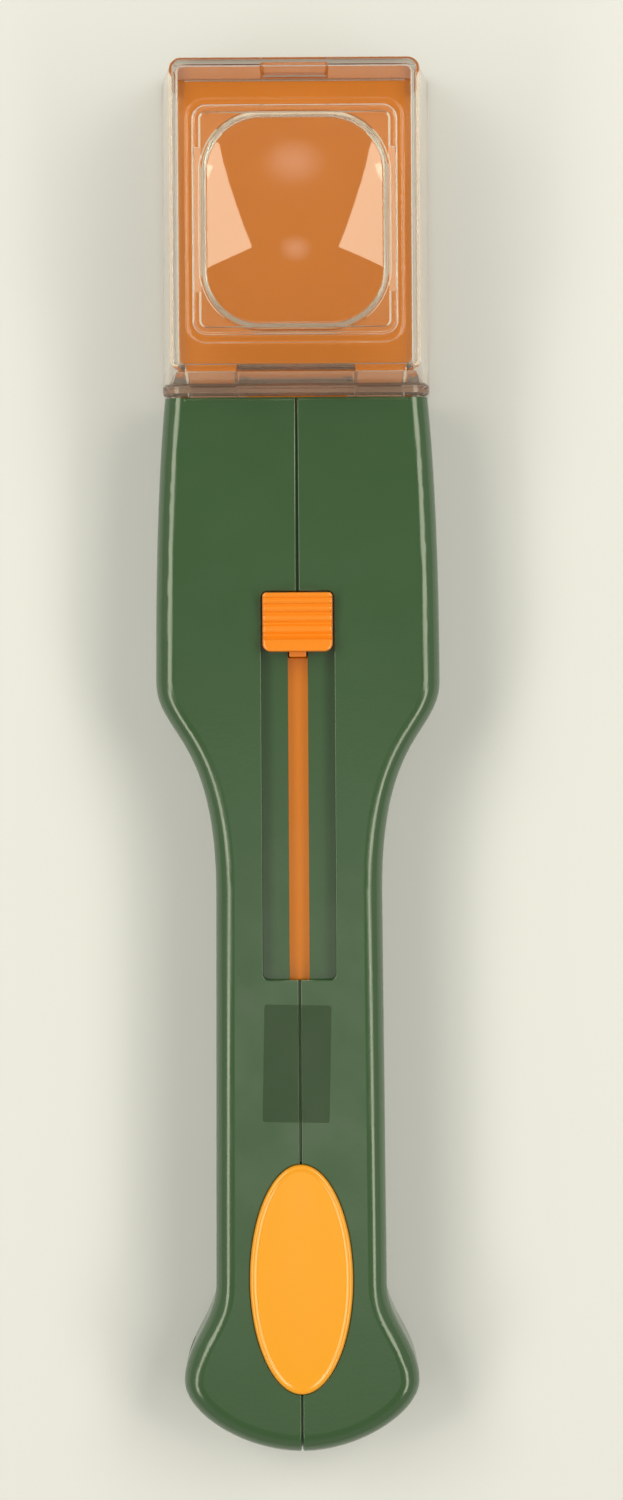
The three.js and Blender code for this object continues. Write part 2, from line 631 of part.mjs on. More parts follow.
// A pan-head screw with a cross recess, whose shank runs along +X from the left shell to the right one
function screw(height) {
  const y = yFoot + height;
  const seat = -SCREW_SEAT - SEAT_GAP;
  const head = seat - SCREW_HEAD_LENGTH;
  const drive = (wide, tall) => box(
    [head - ROOT, head + SCREW_DRIVE_DEPTH], [y - wide / 2, y + wide / 2], [zScrew - tall / 2, zScrew + tall / 2]);
  return rodAlongX([head, seat], y, zScrew, SCREW_HEAD_DIAMETER)
    .add(rodAlongX([seat - ROOT, SCREW_REACH], y, zScrew, SCREW_SHANK_DIAMETER))
    .subtract(drive(SCREW_DRIVE_WIDTH, SCREW_DRIVE_SPAN))
    .subtract(drive(SCREW_DRIVE_SPAN, SCREW_DRIVE_WIDTH));
}

// Materials and assembly

const plastic = (color, roughness) => new THREE.MeshStandardMaterial({ color, roughness, metalness: 0 });
const greenPlastic = plastic('#486643', 0.45);
const orangePlastic = plastic('#F08A2C', 0.4);
const amberPlastic = plastic('#FBA930', 0.45);
const screwSteel = new THREE.MeshStandardMaterial({ color: '#B9BCC0', roughness: 0.35, metalness: 1 });
const clearPlastic = new THREE.MeshStandardMaterial({
  color: '#EAF1F2', roughness: 0.05, metalness: 0, transparent: true, opacity: 0.3,
});

function piece(name, solid, material) {
  const mesh = new THREE.Mesh(geometryOf(solid), material);
  mesh.name = name;
  return mesh;
}

const slide = new THREE.Group();
slide.add(
  piece('trap_door', trapDoor(), orangePlastic),
  piece('slide_bar', slideBar(), orangePlastic),
  piece('thumb_button', thumbButton(), orangePlastic),
);

const chamber = new THREE.Group();
chamber.add(
  piece('viewing_chamber', viewingChamber(), clearPlastic),
  piece('magnifier_lens', magnifierLens(), clearPlastic),
  piece('lens_frame', lensFrame(), clearPlastic),
);

const handle = new THREE.Group();
handle.add(
  piece('left_shell', handleShell(-1), greenPlastic),
  piece('right_shell', handleShell(1), greenPlastic),
  piece('oval_inlay', ovalInlay(), amberPlastic),
  ...SCREW_HEIGHTS.map((height, i) => piece(`screw_${i + 1}`, screw(height), screwSteel)),
);

const bugViewer = new THREE.Group();
bugViewer.add(handle, chamber, slide);

export default bugViewer;
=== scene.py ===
# %% [markdown]
# # A bug viewer
# The viewer is a clear box with a magnifier lens, on a flat handle moulded in two halves. A thumb button in
# the handle slides an orange trap door under the box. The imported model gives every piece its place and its
# size. This lesson rebuilds each piece as a finer mesh in the same place, gives it a finish, and lights it.

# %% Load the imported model
import math

import bmesh
import bpy
import numpy as np
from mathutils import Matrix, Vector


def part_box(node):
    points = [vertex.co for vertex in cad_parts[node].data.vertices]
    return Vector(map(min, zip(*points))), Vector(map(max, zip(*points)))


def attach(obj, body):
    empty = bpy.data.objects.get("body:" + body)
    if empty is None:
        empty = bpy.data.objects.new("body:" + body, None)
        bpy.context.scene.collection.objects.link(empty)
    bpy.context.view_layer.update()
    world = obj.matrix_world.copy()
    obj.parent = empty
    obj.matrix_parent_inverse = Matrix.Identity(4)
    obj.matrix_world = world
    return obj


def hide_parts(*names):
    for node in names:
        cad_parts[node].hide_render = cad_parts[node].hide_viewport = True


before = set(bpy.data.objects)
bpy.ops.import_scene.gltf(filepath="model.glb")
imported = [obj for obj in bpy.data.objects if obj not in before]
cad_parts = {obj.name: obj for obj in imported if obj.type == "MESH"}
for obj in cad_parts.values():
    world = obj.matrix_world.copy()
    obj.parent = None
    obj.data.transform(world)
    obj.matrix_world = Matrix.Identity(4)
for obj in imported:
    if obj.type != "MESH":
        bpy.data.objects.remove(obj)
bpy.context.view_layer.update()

# %% [markdown]
# ## Places and sizes
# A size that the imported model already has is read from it, so the looks can't drift away from the
# construction. Everything is worked out in millimetres and turned into metres where a mesh is made.

# %% Read places from the model
MM = 0.001


def box_mm(node):
    """Lowest and highest corner of a node, in millimetres."""
    low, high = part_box(node)
    return np.array(low) / MM, np.array(high) / MM


shell_low, shell_high = box_mm("right_shell")
chamber_high = box_mm("viewing_chamber")[1]
seam_half = shell_low[0]
y_foot, y_mouth = shell_low[1], shell_high[1]
y_far = chamber_high[1]
z_front = shell_high[2]
print("foot, mouth and far end along Y, mm:", round(y_foot, 1), round(y_mouth, 1), round(y_far, 1))

# %% [markdown]
# ## The camera
# The viewer lies on its back and is seen from straight above, from about 0.8 m, as a catalogue shows it. The
# camera is turned a little about its own axis, because the viewer lies a little askew in the photograph.

# %% Camera above the middle of the viewer
CAMERA_PLACE = (0.0027, 0.0009, 0.824)  # metres
CAMERA_ROLL = math.radians(-0.35)
TALL_VIEW = math.radians(21.69)
SENSOR = 36

camera = bpy.data.objects.new("camera", bpy.data.cameras.new("camera"))
camera.location = CAMERA_PLACE
camera.rotation_euler = (0, 0, CAMERA_ROLL)
camera.data.sensor_width = SENSOR
camera.data.lens = SENSOR / 2 / math.tan(TALL_VIEW / 2)
bpy.context.scene.collection.objects.link(camera)
bpy.context.scene.camera = camera
print("focal length, mm:", round(camera.data.lens, 1))

# %% [markdown]
# ## Materials
# The handle, the slide and the oval are ABS, moulded in colour. ABS has an IOR of about 1.53 and a satin skin
# that copies the mould, which was spark-eroded to a fine, even grain. The box, the lens and its frame are
# moulded acrylic, IOR 1.49, clear and glossy. The screws are zinc-plated steel, bright under a cloudy skin,
# and the label is a thin clear film. Painted images could give these surfaces, but noises with a real size
# in millimetres need no unwrapping and fit every piece. One function adds each node of their trees.

# %% Colour and node helpers
def linear(colour):
    """A linear colour from an sRGB hex value, by the sRGB curve."""
    parts = [int(colour[i:i + 2], 16) / 255 for i in (1, 3, 5)]
    return [p / 12.92 if p <= 0.04045 else ((p + 0.055) / 1.055) ** 2.4 for p in parts] + [1]


def add_node(tree, kind, values=None, links=None, **settings):
    """Adds a node: settings are its options, values go on its sockets, and links feed them."""
    node = tree.nodes.new(kind)
    for name, value in settings.items():
        setattr(node, name, value)
    for socket, value in (values or {}).items():
        node.inputs[socket].default_value = value
    for socket, source in (links or {}).items():
        tree.links.new(source, node.inputs[socket])
    return node


def new_material(name):
    """An empty material with its output and the object's own coordinates."""
    material = bpy.data.materials.new(name)
    material.use_nodes = True
    tree = material.node_tree
    tree.nodes.clear()
    output = add_node(tree, "ShaderNodeOutputMaterial")
    place = add_node(tree, "ShaderNodeTexCoord").outputs["Object"]
    return material, tree, output, place


print("mid grey in linear light:", round(linear("#808080")[0], 3))

# %% Clouded colours
def scale_of(size_mm):
    """The scale of a noise whose features are about this far apart."""
    return 1 / (size_mm * MM)


def clouded(tree, place, spacing, detail, deep, pale):
    """A noise with features this far apart, and the colour that it mixes from two."""
    noise = add_node(
        tree, "ShaderNodeTexNoise", {"Scale": scale_of(spacing), "Detail": detail}, {"Vector": place})
    cloud = noise.outputs["Fac"]
    tint = add_node(
        tree, "ShaderNodeMix", {6: linear(deep), 7: linear(pale)}, {0: cloud}, data_type="RGBA")
    return cloud, tint.outputs[2]


print("scale of a noise with features 1 mm apart:", scale_of(1))

# %% Moulded ABS
ABS_IOR = 1.53
ABS_GLOSS = 0.75  # a little glossier than the IOR alone, which would be 0.5
GRAIN_SPACING = 0.7  # mm. A real spark grain is about 0.2 mm, which is too fine to show here
GRAIN_DEPTH = 0.1
FLOW_SPACING = 28  # mm, soft clouds where the melt flowed and cooled
RUB_SPACING = 9  # mm, patches that handling has made a little glossier
NOISE_LOW, NOISE_HIGH = 0.3, 0.7  # nearly all of a noise lies between these


def moulded_abs(name, colour, deep, rough, grain):
    """Satin ABS: clouded a little in colour and in gloss, over a fine even grain."""
    material, tree, output, place = new_material(name)
    _, tint = clouded(tree, place, FLOW_SPACING, 3, deep, colour)
    rub = add_node(
        tree, "ShaderNodeTexNoise", {"Scale": scale_of(RUB_SPACING), "Detail": 4}, {"Vector": place})
    gloss = add_node(
        tree, "ShaderNodeMapRange",
        {"From Min": NOISE_LOW, "From Max": NOISE_HIGH, "To Min": rough[0], "To Max": rough[1]},
        {"Value": rub.outputs["Fac"]})
    fine = add_node(
        tree, "ShaderNodeTexNoise", {"Scale": scale_of(GRAIN_SPACING), "Detail": 1}, {"Vector": place})
    bump = add_node(
        tree, "ShaderNodeBump", {"Strength": grain, "Distance": GRAIN_DEPTH * MM},
        {"Height": fine.outputs["Fac"]})
    shader = add_node(
        tree, "ShaderNodeBsdfPrincipled", {"IOR": ABS_IOR, "Specular IOR Level": ABS_GLOSS},
        {"Base Color": tint, "Roughness": gloss.outputs["Result"], "Normal": bump.outputs["Normal"]})
    tree.links.new(shader.outputs["BSDF"], output.inputs["Surface"])
    return material


green_abs = moulded_abs("green_abs_satin", "#3A5A38", "#355433", rough=(0.14, 0.2), grain=0.06)
orange_abs = moulded_abs("orange_abs_satin", "#FB901C", "#F78A16", rough=(0.2, 0.26), grain=0.05)
amber_abs = moulded_abs("amber_abs_satin", "#FCAA20", "#F9A51B", rough=(0.2, 0.26), grain=0.05)
print("moulded plastics:", green_abs.name, orange_abs.name, amber_abs.name)

# %% Clear acrylic
ACRYLIC_IOR = 1.49
POLISH = (0, 0.03)  # roughness where a wall is clearest, and where it is dullest
WAVE_SPACING = 14  # mm, the faint waves of a moulded clear wall
WAVE_DEPTH = 0.02
WAVE_STRENGTH = 0.1
# Where rays stay trapped, a matt colour is painted on the wall in place of the light it carries: a painted
# glow when pale, a painted shade when dark.
LONG_PATH = 3  # bounces. Light that is trapped in a wall for longer leaves it as the edge's pale glow
print("bounces before an edge glows:", LONG_PATH)


def clear_acrylic(name, tint, shade, edge, long_path=LONG_PATH, coat=0):
    """Glossy clear acrylic. Where rays stay trapped in a wall, its edge colour is painted there: painted glow
    when pale, painted shade when dark.

    Light from lamps and light from matt surfaces passes straight through, dimmed to the shade."""
    material, tree, output, place = new_material(name)
    wave = add_node(
        tree, "ShaderNodeTexNoise", {"Scale": scale_of(WAVE_SPACING), "Detail": 2}, {"Vector": place})
    bump = add_node(
        tree, "ShaderNodeBump", {"Strength": WAVE_STRENGTH, "Distance": WAVE_DEPTH * MM},
        {"Height": wave.outputs["Fac"]})
    gloss = add_node(
        tree, "ShaderNodeMapRange",
        {"From Min": NOISE_LOW, "From Max": NOISE_HIGH, "To Min": POLISH[0], "To Max": POLISH[1]},
        {"Value": wave.outputs["Fac"]})
    glass = add_node(
        tree, "ShaderNodeBsdfPrincipled",
        {"Base Color": linear(tint), "IOR": ACRYLIC_IOR, "Transmission Weight": 1, "Coat Weight": coat},
        {"Roughness": gloss.outputs["Result"], "Normal": bump.outputs["Normal"]})
    path = add_node(tree, "ShaderNodeLightPath")
    trapped = add_node(
        tree, "ShaderNodeMath", {1: long_path}, {0: path.outputs["Ray Depth"]}, operation="GREATER_THAN")
    # Trapped rays see this matt edge colour, lit from both sides: painted light when pale, painted shade when
    # dark.
    front = add_node(tree, "ShaderNodeBsdfDiffuse", {"Color": linear(edge)})
    behind = add_node(tree, "ShaderNodeBsdfTranslucent", {"Color": linear(edge)})
    painted_edge = add_node(tree, "ShaderNodeAddShader", None, {0: front.outputs["BSDF"], 1: behind.outputs["BSDF"]})
    seen = add_node(
        tree, "ShaderNodeMixShader", None,
        {0: trapped.outputs[0], 1: glass.outputs["BSDF"], 2: painted_edge.outputs["Shader"]})
    passes = add_node(
        tree, "ShaderNodeMath", None, {0: path.outputs["Is Shadow Ray"], 1: path.outputs["Is Diffuse Ray"]},
        operation="MAXIMUM")
    open_way = add_node(tree, "ShaderNodeBsdfTransparent", {"Color": linear(shade)})
    mix = add_node(
        tree, "ShaderNodeMixShader", None,
        {0: passes.outputs[0], 1: seen.outputs["Shader"], 2: open_way.outputs["BSDF"]})
    tree.links.new(mix.outputs["Shader"], output.inputs["Surface"])
    return material


# %% Finishes of the clear pieces
LENS_PATH = 8  # bounces. The lens passes what the door reflects too
# The last colour of each acrylic is painted on its edges where rays stay trapped: a pale painted glow on the
# box, the lens and its frame, which draws their white edge lines and the white ring round the lens.
chamber_acrylic = clear_acrylic("clear_acrylic_moulded", "#FBFCFB", "#F3F3F2", "#C9BFB4")
# The end walls and the flange are shaded copies of the box's acrylic. The end walls' reddish-brown edge
# colour is a painted reflection of the orange door in shade, and the flange's grey-brown is the painted shade
# of the handle's dark mouth behind it.
end_wall_shaded_acrylic = clear_acrylic("clear_acrylic_end_wall_painted_shade", "#F7F4F1", "#E0DEDA", "#A86326")
flange_shaded_acrylic = clear_acrylic("clear_acrylic_flange_painted_shade", "#F7F4F1", "#E0DEDA", "#A19C9A", long_path=0)
lens_acrylic = clear_acrylic("clear_acrylic_polished", "#FDFDFC", "#CCCCCA", "#FAF6F0", LENS_PATH, coat=1)
frame_acrylic = clear_acrylic("clear_acrylic_frame", "#FDFDFC", "#CCCCCA", "#FAF6F0")
acrylics = (chamber_acrylic, end_wall_shaded_acrylic, flange_shaded_acrylic, lens_acrylic, frame_acrylic)
print("clear plastics:", [acrylic.name for acrylic in acrylics])

# %% Zinc-plated steel
ZINC_SPACING = 1.2  # mm, the clouds of the skin
ZINC_ROUGH = (0.22, 0.4)


def plated_steel(name):
    """Zinc-plated screw steel: bright, with a cloudy passivated skin."""
    material, tree, output, place = new_material(name)
    cloud, tint = clouded(tree, place, ZINC_SPACING, 5, "#A9ADB3", "#CDD0D3")
    gloss = add_node(
        tree, "ShaderNodeMapRange",
        {"From Min": NOISE_LOW, "From Max": NOISE_HIGH, "To Min": ZINC_ROUGH[0], "To Max": ZINC_ROUGH[1]},
        {"Value": cloud})
    shader = add_node(
        tree, "ShaderNodeBsdfPrincipled", {"Metallic": 1},
        {"Base Color": tint, "Roughness": gloss.outputs["Result"]})
    tree.links.new(shader.outputs["BSDF"], output.inputs["Surface"])
    return material


screw_steel = plated_steel("screw_steel_zinc_plated")
print("metal:", screw_steel.name)

# %% Clear label film
CREASE_SPACING = 6  # mm, faint creases
FILM_ROUGH = 0.3
FILM_COVER = 0.16  # the share of what lies under it that the film hides


def label_film(name):
    """A blank film label: thin, see-through and a little darker than what it lies on."""
    material, tree, output, place = new_material(name)
    _, tint = clouded(tree, place, CREASE_SPACING, 3, "#2A4222", "#304A28")
    shader = add_node(
        tree, "ShaderNodeBsdfPrincipled",
        {"Roughness": FILM_ROUGH, "IOR": ACRYLIC_IOR, "Alpha": FILM_COVER}, {"Base Color": tint})
    tree.links.new(shader.outputs["BSDF"], output.inputs["Surface"])
    return material


blank_film = label_film("label_film_clear")
print("film:", blank_film.name)

# %% [markdown]
# ## Mesh helpers
# Most pieces here are lofts: a row of rings, joined ring to ring. Cuts are booleans. Each body in a boolean
# numbers its faces with its own surface, and that number survives the cut, so the edges where two surfaces
# meet can be found afterwards and rounded, each with its own radius.

# %% New pieces and lofts
SURFACES = 9
OUTSIDE, INSIDE, SEAM, MOUTH, SLOT, SEAT, WELL, FLANGE, END_WALL = range(SURFACES)
print("surfaces that faces can belong to:", SURFACES)


def new_piece(name, points, faces, surface=OUTSIDE):
    """A mesh object from points in millimetres, with its faces turned outwards."""
    mesh = bpy.data.meshes.new(name)
    mesh.from_pydata([[MM * part for part in point] for point in points], [], faces)
    for _ in range(SURFACES):
        mesh.materials.append(None)
    mesh.polygons.foreach_set("material_index", [surface] * len(mesh.polygons))
    shape = bmesh.new()
    shape.from_mesh(mesh)
    bmesh.ops.recalc_face_normals(shape, faces=shape.faces)
    shape.to_mesh(mesh)
    shape.free()
    piece = bpy.data.objects.new(name, mesh)
    bpy.context.scene.collection.objects.link(piece)
    return piece


def loft(name, rings, surface=OUTSIDE, joined=False):
    """Rings of equally many points, joined in turn and closed by flat ends, or joined into one loop."""
    count = len(rings[0])
    points = [point for ring in rings for point in ring]
    faces = []
    for k in range(len(rings) if joined else len(rings) - 1):
        here, there = k * count, (k + 1) % len(rings) * count
        for i in range(count):
            following = (i + 1) % count
            faces.append((here + i, here + following, there + following, there + i))
    if not joined:
        faces += [range(count)[::-1], range(len(points) - count, len(points))]
    return new_piece(name, points, faces, surface)


# %% Blocks and rods
ROD_STEPS = 40
print("sides of a rod:", ROD_STEPS)


def span(width, middle=0):
    """Both ends of a width about its middle."""
    return [middle - width / 2, middle + width / 2]


def block(xs, ys, zs, surface=INSIDE):
    """A rectangular body between two values along each axis."""
    corners = [(xs[0], ys[0]), (xs[1], ys[0]), (xs[1], ys[1]), (xs[0], ys[1])]
    return loft("block", [[(x, y, z) for x, y in corners] for z in zs], surface)


def rod(centre, diameter, ends, axis, surface=INSIDE):
    """A round body along an axis: centre gives the other two coordinates, in order."""
    turns = np.linspace(0, 2 * math.pi, ROD_STEPS, endpoint=False)
    radius = diameter / 2
    circle = [(centre[0] + radius * math.cos(t), centre[1] + radius * math.sin(t)) for t in turns]
    place = {"x": lambda a, b, s: (s, a, b), "z": lambda a, b, s: (a, b, s)}[axis]
    return loft("rod", [[place(a, b, s) for a, b in circle] for s in ends], surface)


# %% Booleans
SOLVER = "MANIFOLD"  # the quick one, for closed bodies
print("boolean solver:", SOLVER)


def settle(piece):
    """Makes what the modifiers give the piece's own mesh, and removes them."""
    graph = bpy.context.evaluated_depsgraph_get()
    mesh = bpy.data.meshes.new_from_object(piece.evaluated_get(graph))
    piece.modifiers.clear()
    piece.data = mesh


def combine(piece, operation, tools):
    """Cuts or joins the tools with a piece, one after another, and removes them."""
    for tool in tools:
        boolean = piece.modifiers.new("combine", "BOOLEAN")
        boolean.operation = operation
        boolean.solver = SOLVER
        boolean.object = tool
    settle(piece)
    for tool in tools:
        bpy.data.objects.remove(tool)
    return piece


# %% Merged flat faces
MERGE_DISTANCE = 1e-6  # metres
FLAT_ANGLE = math.radians(0.1)
print("points merge within, mm:", MERGE_DISTANCE / MM)


def merge_flat_faces(mesh):
    """Joins faces that lie in one plane and come from one surface."""
    shape = bmesh.new()
    shape.from_mesh(mesh)
    bmesh.ops.remove_doubles(shape, verts=shape.verts, dist=MERGE_DISTANCE)
    bmesh.ops.dissolve_limit(
        shape, angle_limit=FLAT_ANGLE, verts=shape.verts, edges=shape.edges, delimit={"MATERIAL"})
    shape.to_mesh(mesh)
    shape.free()


# %% Rounded edges
ROUND_SEGMENTS = 3
SHARP_ANGLE = 50
print("faces across a rounded edge:", ROUND_SEGMENTS)


def round_edges(piece, radius, limit, angle=0):
    """Rounds the edges that a limit picks: those with a weight, or those sharper than an angle in degrees."""
    bevel = piece.modifiers.new("round", "BEVEL")
    bevel.limit_method = limit
    if limit == "ANGLE":
        bevel.angle_limit = math.radians(angle)
    bevel.width = radius * MM
    bevel.segments = ROUND_SEGMENTS
    bevel.use_clamp_overlap = False
    settle(piece)


def round_meetings(piece, radii):
    """Rounds the edges where two surfaces meet: radii gives a radius in millimetres for each pair."""
    merge_flat_faces(piece.data)
    shape = bmesh.new()
    shape.from_mesh(piece.data)
    weight = shape.edges.layers.float.new("bevel_weight_edge")
    widest = max(radii.values())
    for edge in shape.edges:
        meeting = frozenset(face.material_index for face in edge.link_faces)
        edge[weight] = radii.get(meeting, 0) / widest
    shape.to_mesh(piece.data)
    shape.free()
    round_edges(piece, widest, "WEIGHT")


def round_sharp_edges(piece, radius, angle=SHARP_ANGLE):
    """Rounds every edge that is sharper than an angle in degrees."""
    merge_flat_faces(piece.data)
    round_edges(piece, radius, "ANGLE", angle)


# %% Finished pieces
SMOOTH_ANGLE = 38  # degrees. Edges that turn less than this shade smoothly
print("smooth shading up to, degrees:", SMOOTH_ANGLE)


def finish_piece(piece, body, material, slot, *nodes, others=None):
    """Shades a piece, gives it its material, and sets it on its body in the place of its nodes.

    The surfaces that others names take the materials that it gives them."""
    mesh = piece.data
    materials = {OUTSIDE: material, **(others or {})}
    order = {surface: k for k, surface in enumerate(materials)}
    numbers = [order.get(face.material_index, 0) for face in mesh.polygons]
    mesh.materials.clear()
    for each in materials.values():
        mesh.materials.append(each)
    mesh.polygons.foreach_set("material_index", numbers)
    mesh.polygons.foreach_set("use_smooth", [True] * len(mesh.polygons))
    mesh.set_sharp_from_angle(angle=math.radians(SMOOTH_ANGLE))
    normals = piece.modifiers.new("normals", "WEIGHTED_NORMAL")
    normals.keep_sharp = True
    settle(piece)
    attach(piece, body)
    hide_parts(*nodes)
    triangles = sum(len(face.vertices) - 2 for face in piece.data.polygons)
    size = [round(side / MM, 1) for side in piece.dimensions]
    print(f"{piece.name}: {triangles} triangles, {size} mm")
    return piece


# %% [markdown]
# ## The handle's outline
# The handle is a flat paddle: a broad head, a waisted grip and a rounded foot. Its outline is four smooth
# curves and a straight grip, drawn for the right half and mirrored. Drawing the outline in along its own
# normals gives the rings of the rounded edge, so the edge keeps one radius all the way round.

# %% Sizes of the handle's outline
MOUTH_WIDTH = 53.9
NECK_WIDTH = 34.1
GRIP_WIDTH = 35
FOOT_WIDTH = 48.2
FOOT_HEIGHT = 14.5
GRIP_START = 34.5
NECK_HEIGHT = 115
SHOULDER_HEIGHT = 158
HEAD_BEND = 23
FOOT_END_PULL = 0.5
FOOT_CORNER_PULL = 0.45
FLARE_PULL = 0.38
NECK_PULL = 0.75
SHOULDER_PULL = 0.25
print("widths from the foot to the mouth, mm:", FOOT_WIDTH, GRIP_WIDTH, NECK_WIDTH, MOUTH_WIDTH)

# %% Outline of the handle
PAST = 10  # how far cutting bodies run past what they cut
CURVE_STEPS = 36
LINE_STEPS = 6


def bezier(controls, steps):
    """Points along a Bezier curve of any degree, without its first."""
    degree = len(controls) - 1
    shares = np.linspace(0, 1, steps + 1)[1:]
    weights = [math.comb(degree, k) * (1 - shares) ** (degree - k) * shares ** k for k in range(degree + 1)]
    return sum(np.outer(weight, control) for weight, control in zip(weights, controls))


def handle_half():
    """The right half of the outline, from the foot's lowest point to past the mouth."""
    foot, grip, neck, mouth = FOOT_WIDTH / 2, GRIP_WIDTH / 2, NECK_WIDTH / 2, MOUTH_WIDTH / 2
    shoulder = shell_high[0]
    y_flare, y_grip = y_foot + FOOT_HEIGHT, y_foot + GRIP_START
    y_neck, y_shoulder = y_foot + NECK_HEIGHT, y_foot + SHOULDER_HEIGHT
    flare = FLARE_PULL * (y_grip - y_flare)
    rise = y_shoulder - y_neck
    y_corner = y_flare - FOOT_CORNER_PULL * FOOT_HEIGHT
    curves = [
        [(0, y_foot), (FOOT_END_PULL * foot, y_foot), (foot, y_corner), (foot, y_flare)],
        [(foot, y_flare), (foot, y_flare + flare), (grip, y_grip - flare), (grip, y_grip)],
        [(grip, y_grip), (neck, y_neck)],
        [(neck, y_neck), (neck, y_neck + NECK_PULL * rise), (shoulder, y_shoulder - SHOULDER_PULL * rise),
         (shoulder, y_shoulder)],
        [(shoulder, y_shoulder), (shoulder, y_mouth - HEAD_BEND), (mouth, y_mouth)],
        [(mouth, y_mouth), (mouth, y_mouth + PAST)],
    ]
    steps = [CURVE_STEPS if len(curve) > 2 else LINE_STEPS for curve in curves]
    return np.vstack([curves[0][0], *[bezier(curve, count) for curve, count in zip(curves, steps)]])


print("points along half the outline:", len(handle_half()))

# %% Rings of the handle
def handle_ring(inset, z):
    """The whole outline, drawn in by inset, at a level."""
    half = handle_half()
    along = np.vstack([half[1:], half[-1:]]) - np.vstack([half[:1], half[:-1]])
    along[0] = (1, 0)
    along /= np.linalg.norm(along, axis=1)[:, None]
    half = half + inset * np.column_stack([-along[:, 1], along[:, 0]])
    return [(x, y, z) for x, y in np.vstack([half, half[:0:-1] * (-1, 1)])]


print("points in a ring of the handle:", len(handle_ring(0, 0)))

# %% [markdown]
# ## The two shells
# Each half of the handle is a hollow moulding. Inside are a trough under the thumb slot, ribs that carry the
# slide bar, rails over the door, screw bosses and a catch for the box's tab. The two halves meet at a seam
# down the middle. A full body is hollowed and filled with these first, then cut, then parted at the seam.

# %% Bodies of the handle
EDGE_RADIUS = 4
EDGE_STEPS = 9
WALL = 2


def arc_steps(count):
    """Pairs that go round a quarter circle: what is left to go in, and what has risen."""
    return [(1 - math.sin(t), 1 - math.cos(t)) for t in np.linspace(0, math.pi / 2, count + 1)]


def handle_body(inset=0, surface=OUTSIDE):
    """The solid handle with its rounded edges, drawn in by inset and running on past the mouth."""
    radius = EDGE_RADIUS - inset
    steps = [(inset + radius * drawn, inset + radius * risen) for drawn, risen in arc_steps(EDGE_STEPS)]
    back = [handle_ring(drawn, rise) for drawn, rise in steps]
    front = [handle_ring(drawn, z_front - rise) for drawn, rise in steps]
    return loft("handle", back + front[::-1], surface)


def handle_cavity():
    """The hollow inside the handle's walls."""
    return loft("cavity", [handle_ring(WALL, WALL), handle_ring(WALL, z_front - WALL)], INSIDE)


print("edge radius and wall, mm:", EDGE_RADIUS, WALL)

# %% Places of the thumb slot and the oval
SLOT_TO_MOUTH = 39.7
SLOT_LENGTH = 79.5
SLOT_DEPTH = 2.6
SLOT_FLOOR = 2
POST_SPACING = 24
y_slot_top = y_mouth - SLOT_TO_MOUTH
y_slot_low = y_slot_top - SLOT_LENGTH
z_floor_top = z_front - SLOT_DEPTH
z_floor_low = z_floor_top - SLOT_FLOOR
inlay_low, inlay_high = box_mm("oval_inlay")
y_inlay = (inlay_low[1] + inlay_high[1]) / 2
post_places = span(POST_SPACING, y_inlay)
print("thumb slot along Y, mm:", round(y_slot_low, 1), "to", round(y_slot_top, 1))

# %% Rounded rectangles and ovals
CORNER_STEPS = 12
OVAL_STEPS = 128


def corner_arcs(half_x, y_low, y_high, corner):
    """Four corner arcs of a rounded rectangle, counter-clockwise from the low right one."""
    quarters = [(1, -1), (1, 1), (-1, 1), (-1, -1)]
    arcs = []
    for quarter, (right, up) in enumerate(quarters):
        turns = np.linspace(0, math.pi / 2, CORNER_STEPS + 1) + (quarter - 1) * math.pi / 2
        y = y_high if up > 0 else y_low
        middle = np.array([right * (half_x - corner), y - up * corner])
        arcs.append(middle + corner * np.column_stack([np.cos(turns), np.sin(turns)]))
    return arcs


def flat_ring(outline, z):
    """Points of an outline at one level."""
    return [(x, y, z) for x, y in outline]


def oval(grow, z):
    """The oval's outline, moved out by grow."""
    turns = np.linspace(0, 2 * math.pi, OVAL_STEPS, endpoint=False)
    across = inlay_high[0] + grow
    along = (inlay_high[1] - inlay_low[1]) / 2 + grow
    return [(across * math.cos(t), y_inlay + along * math.sin(t), z) for t in turns]


print("points in an oval:", len(oval(0, z_front)))

# %% Tools that cut the slot and the seat
SLIDE_GAP = 0.3
SEAT_GAP = 0.25
OVAL_GAP = 0.08
SLOT_WIDTH = 14.9
SLOT_CORNER = 1.2
SLIT_WIDTH = 4.1
INLAY_DEPTH = 1.4
POST_DIAMETER = 3


def slot_tools():
    """The recess and the slit in its floor."""
    recess = np.vstack(corner_arcs(SLOT_WIDTH / 2, y_slot_low, y_slot_top, SLOT_CORNER))
    levels = [z_floor_top, z_front + PAST]
    slit_z = [z_floor_low - SLIDE_GAP / 2, z_front]
    return [
        loft("recess", [flat_ring(recess, z) for z in levels], SLOT),
        block(span(SLIT_WIDTH), [y_slot_low, y_slot_top], slit_z, SLOT)]


def seat_tools():
    """The oval's seat and the holes for its posts."""
    seat = loft("seat", [oval(OVAL_GAP, z) for z in (z_front - INLAY_DEPTH, z_front + PAST)], SEAT)
    hole = POST_DIAMETER + 2 * SEAT_GAP
    return [seat, *[rod((0, y), hole, (z_floor_low, z_front), "z") for y in post_places]]


print("gaps round the slide and in seats, mm:", SLIDE_GAP, SEAT_GAP)

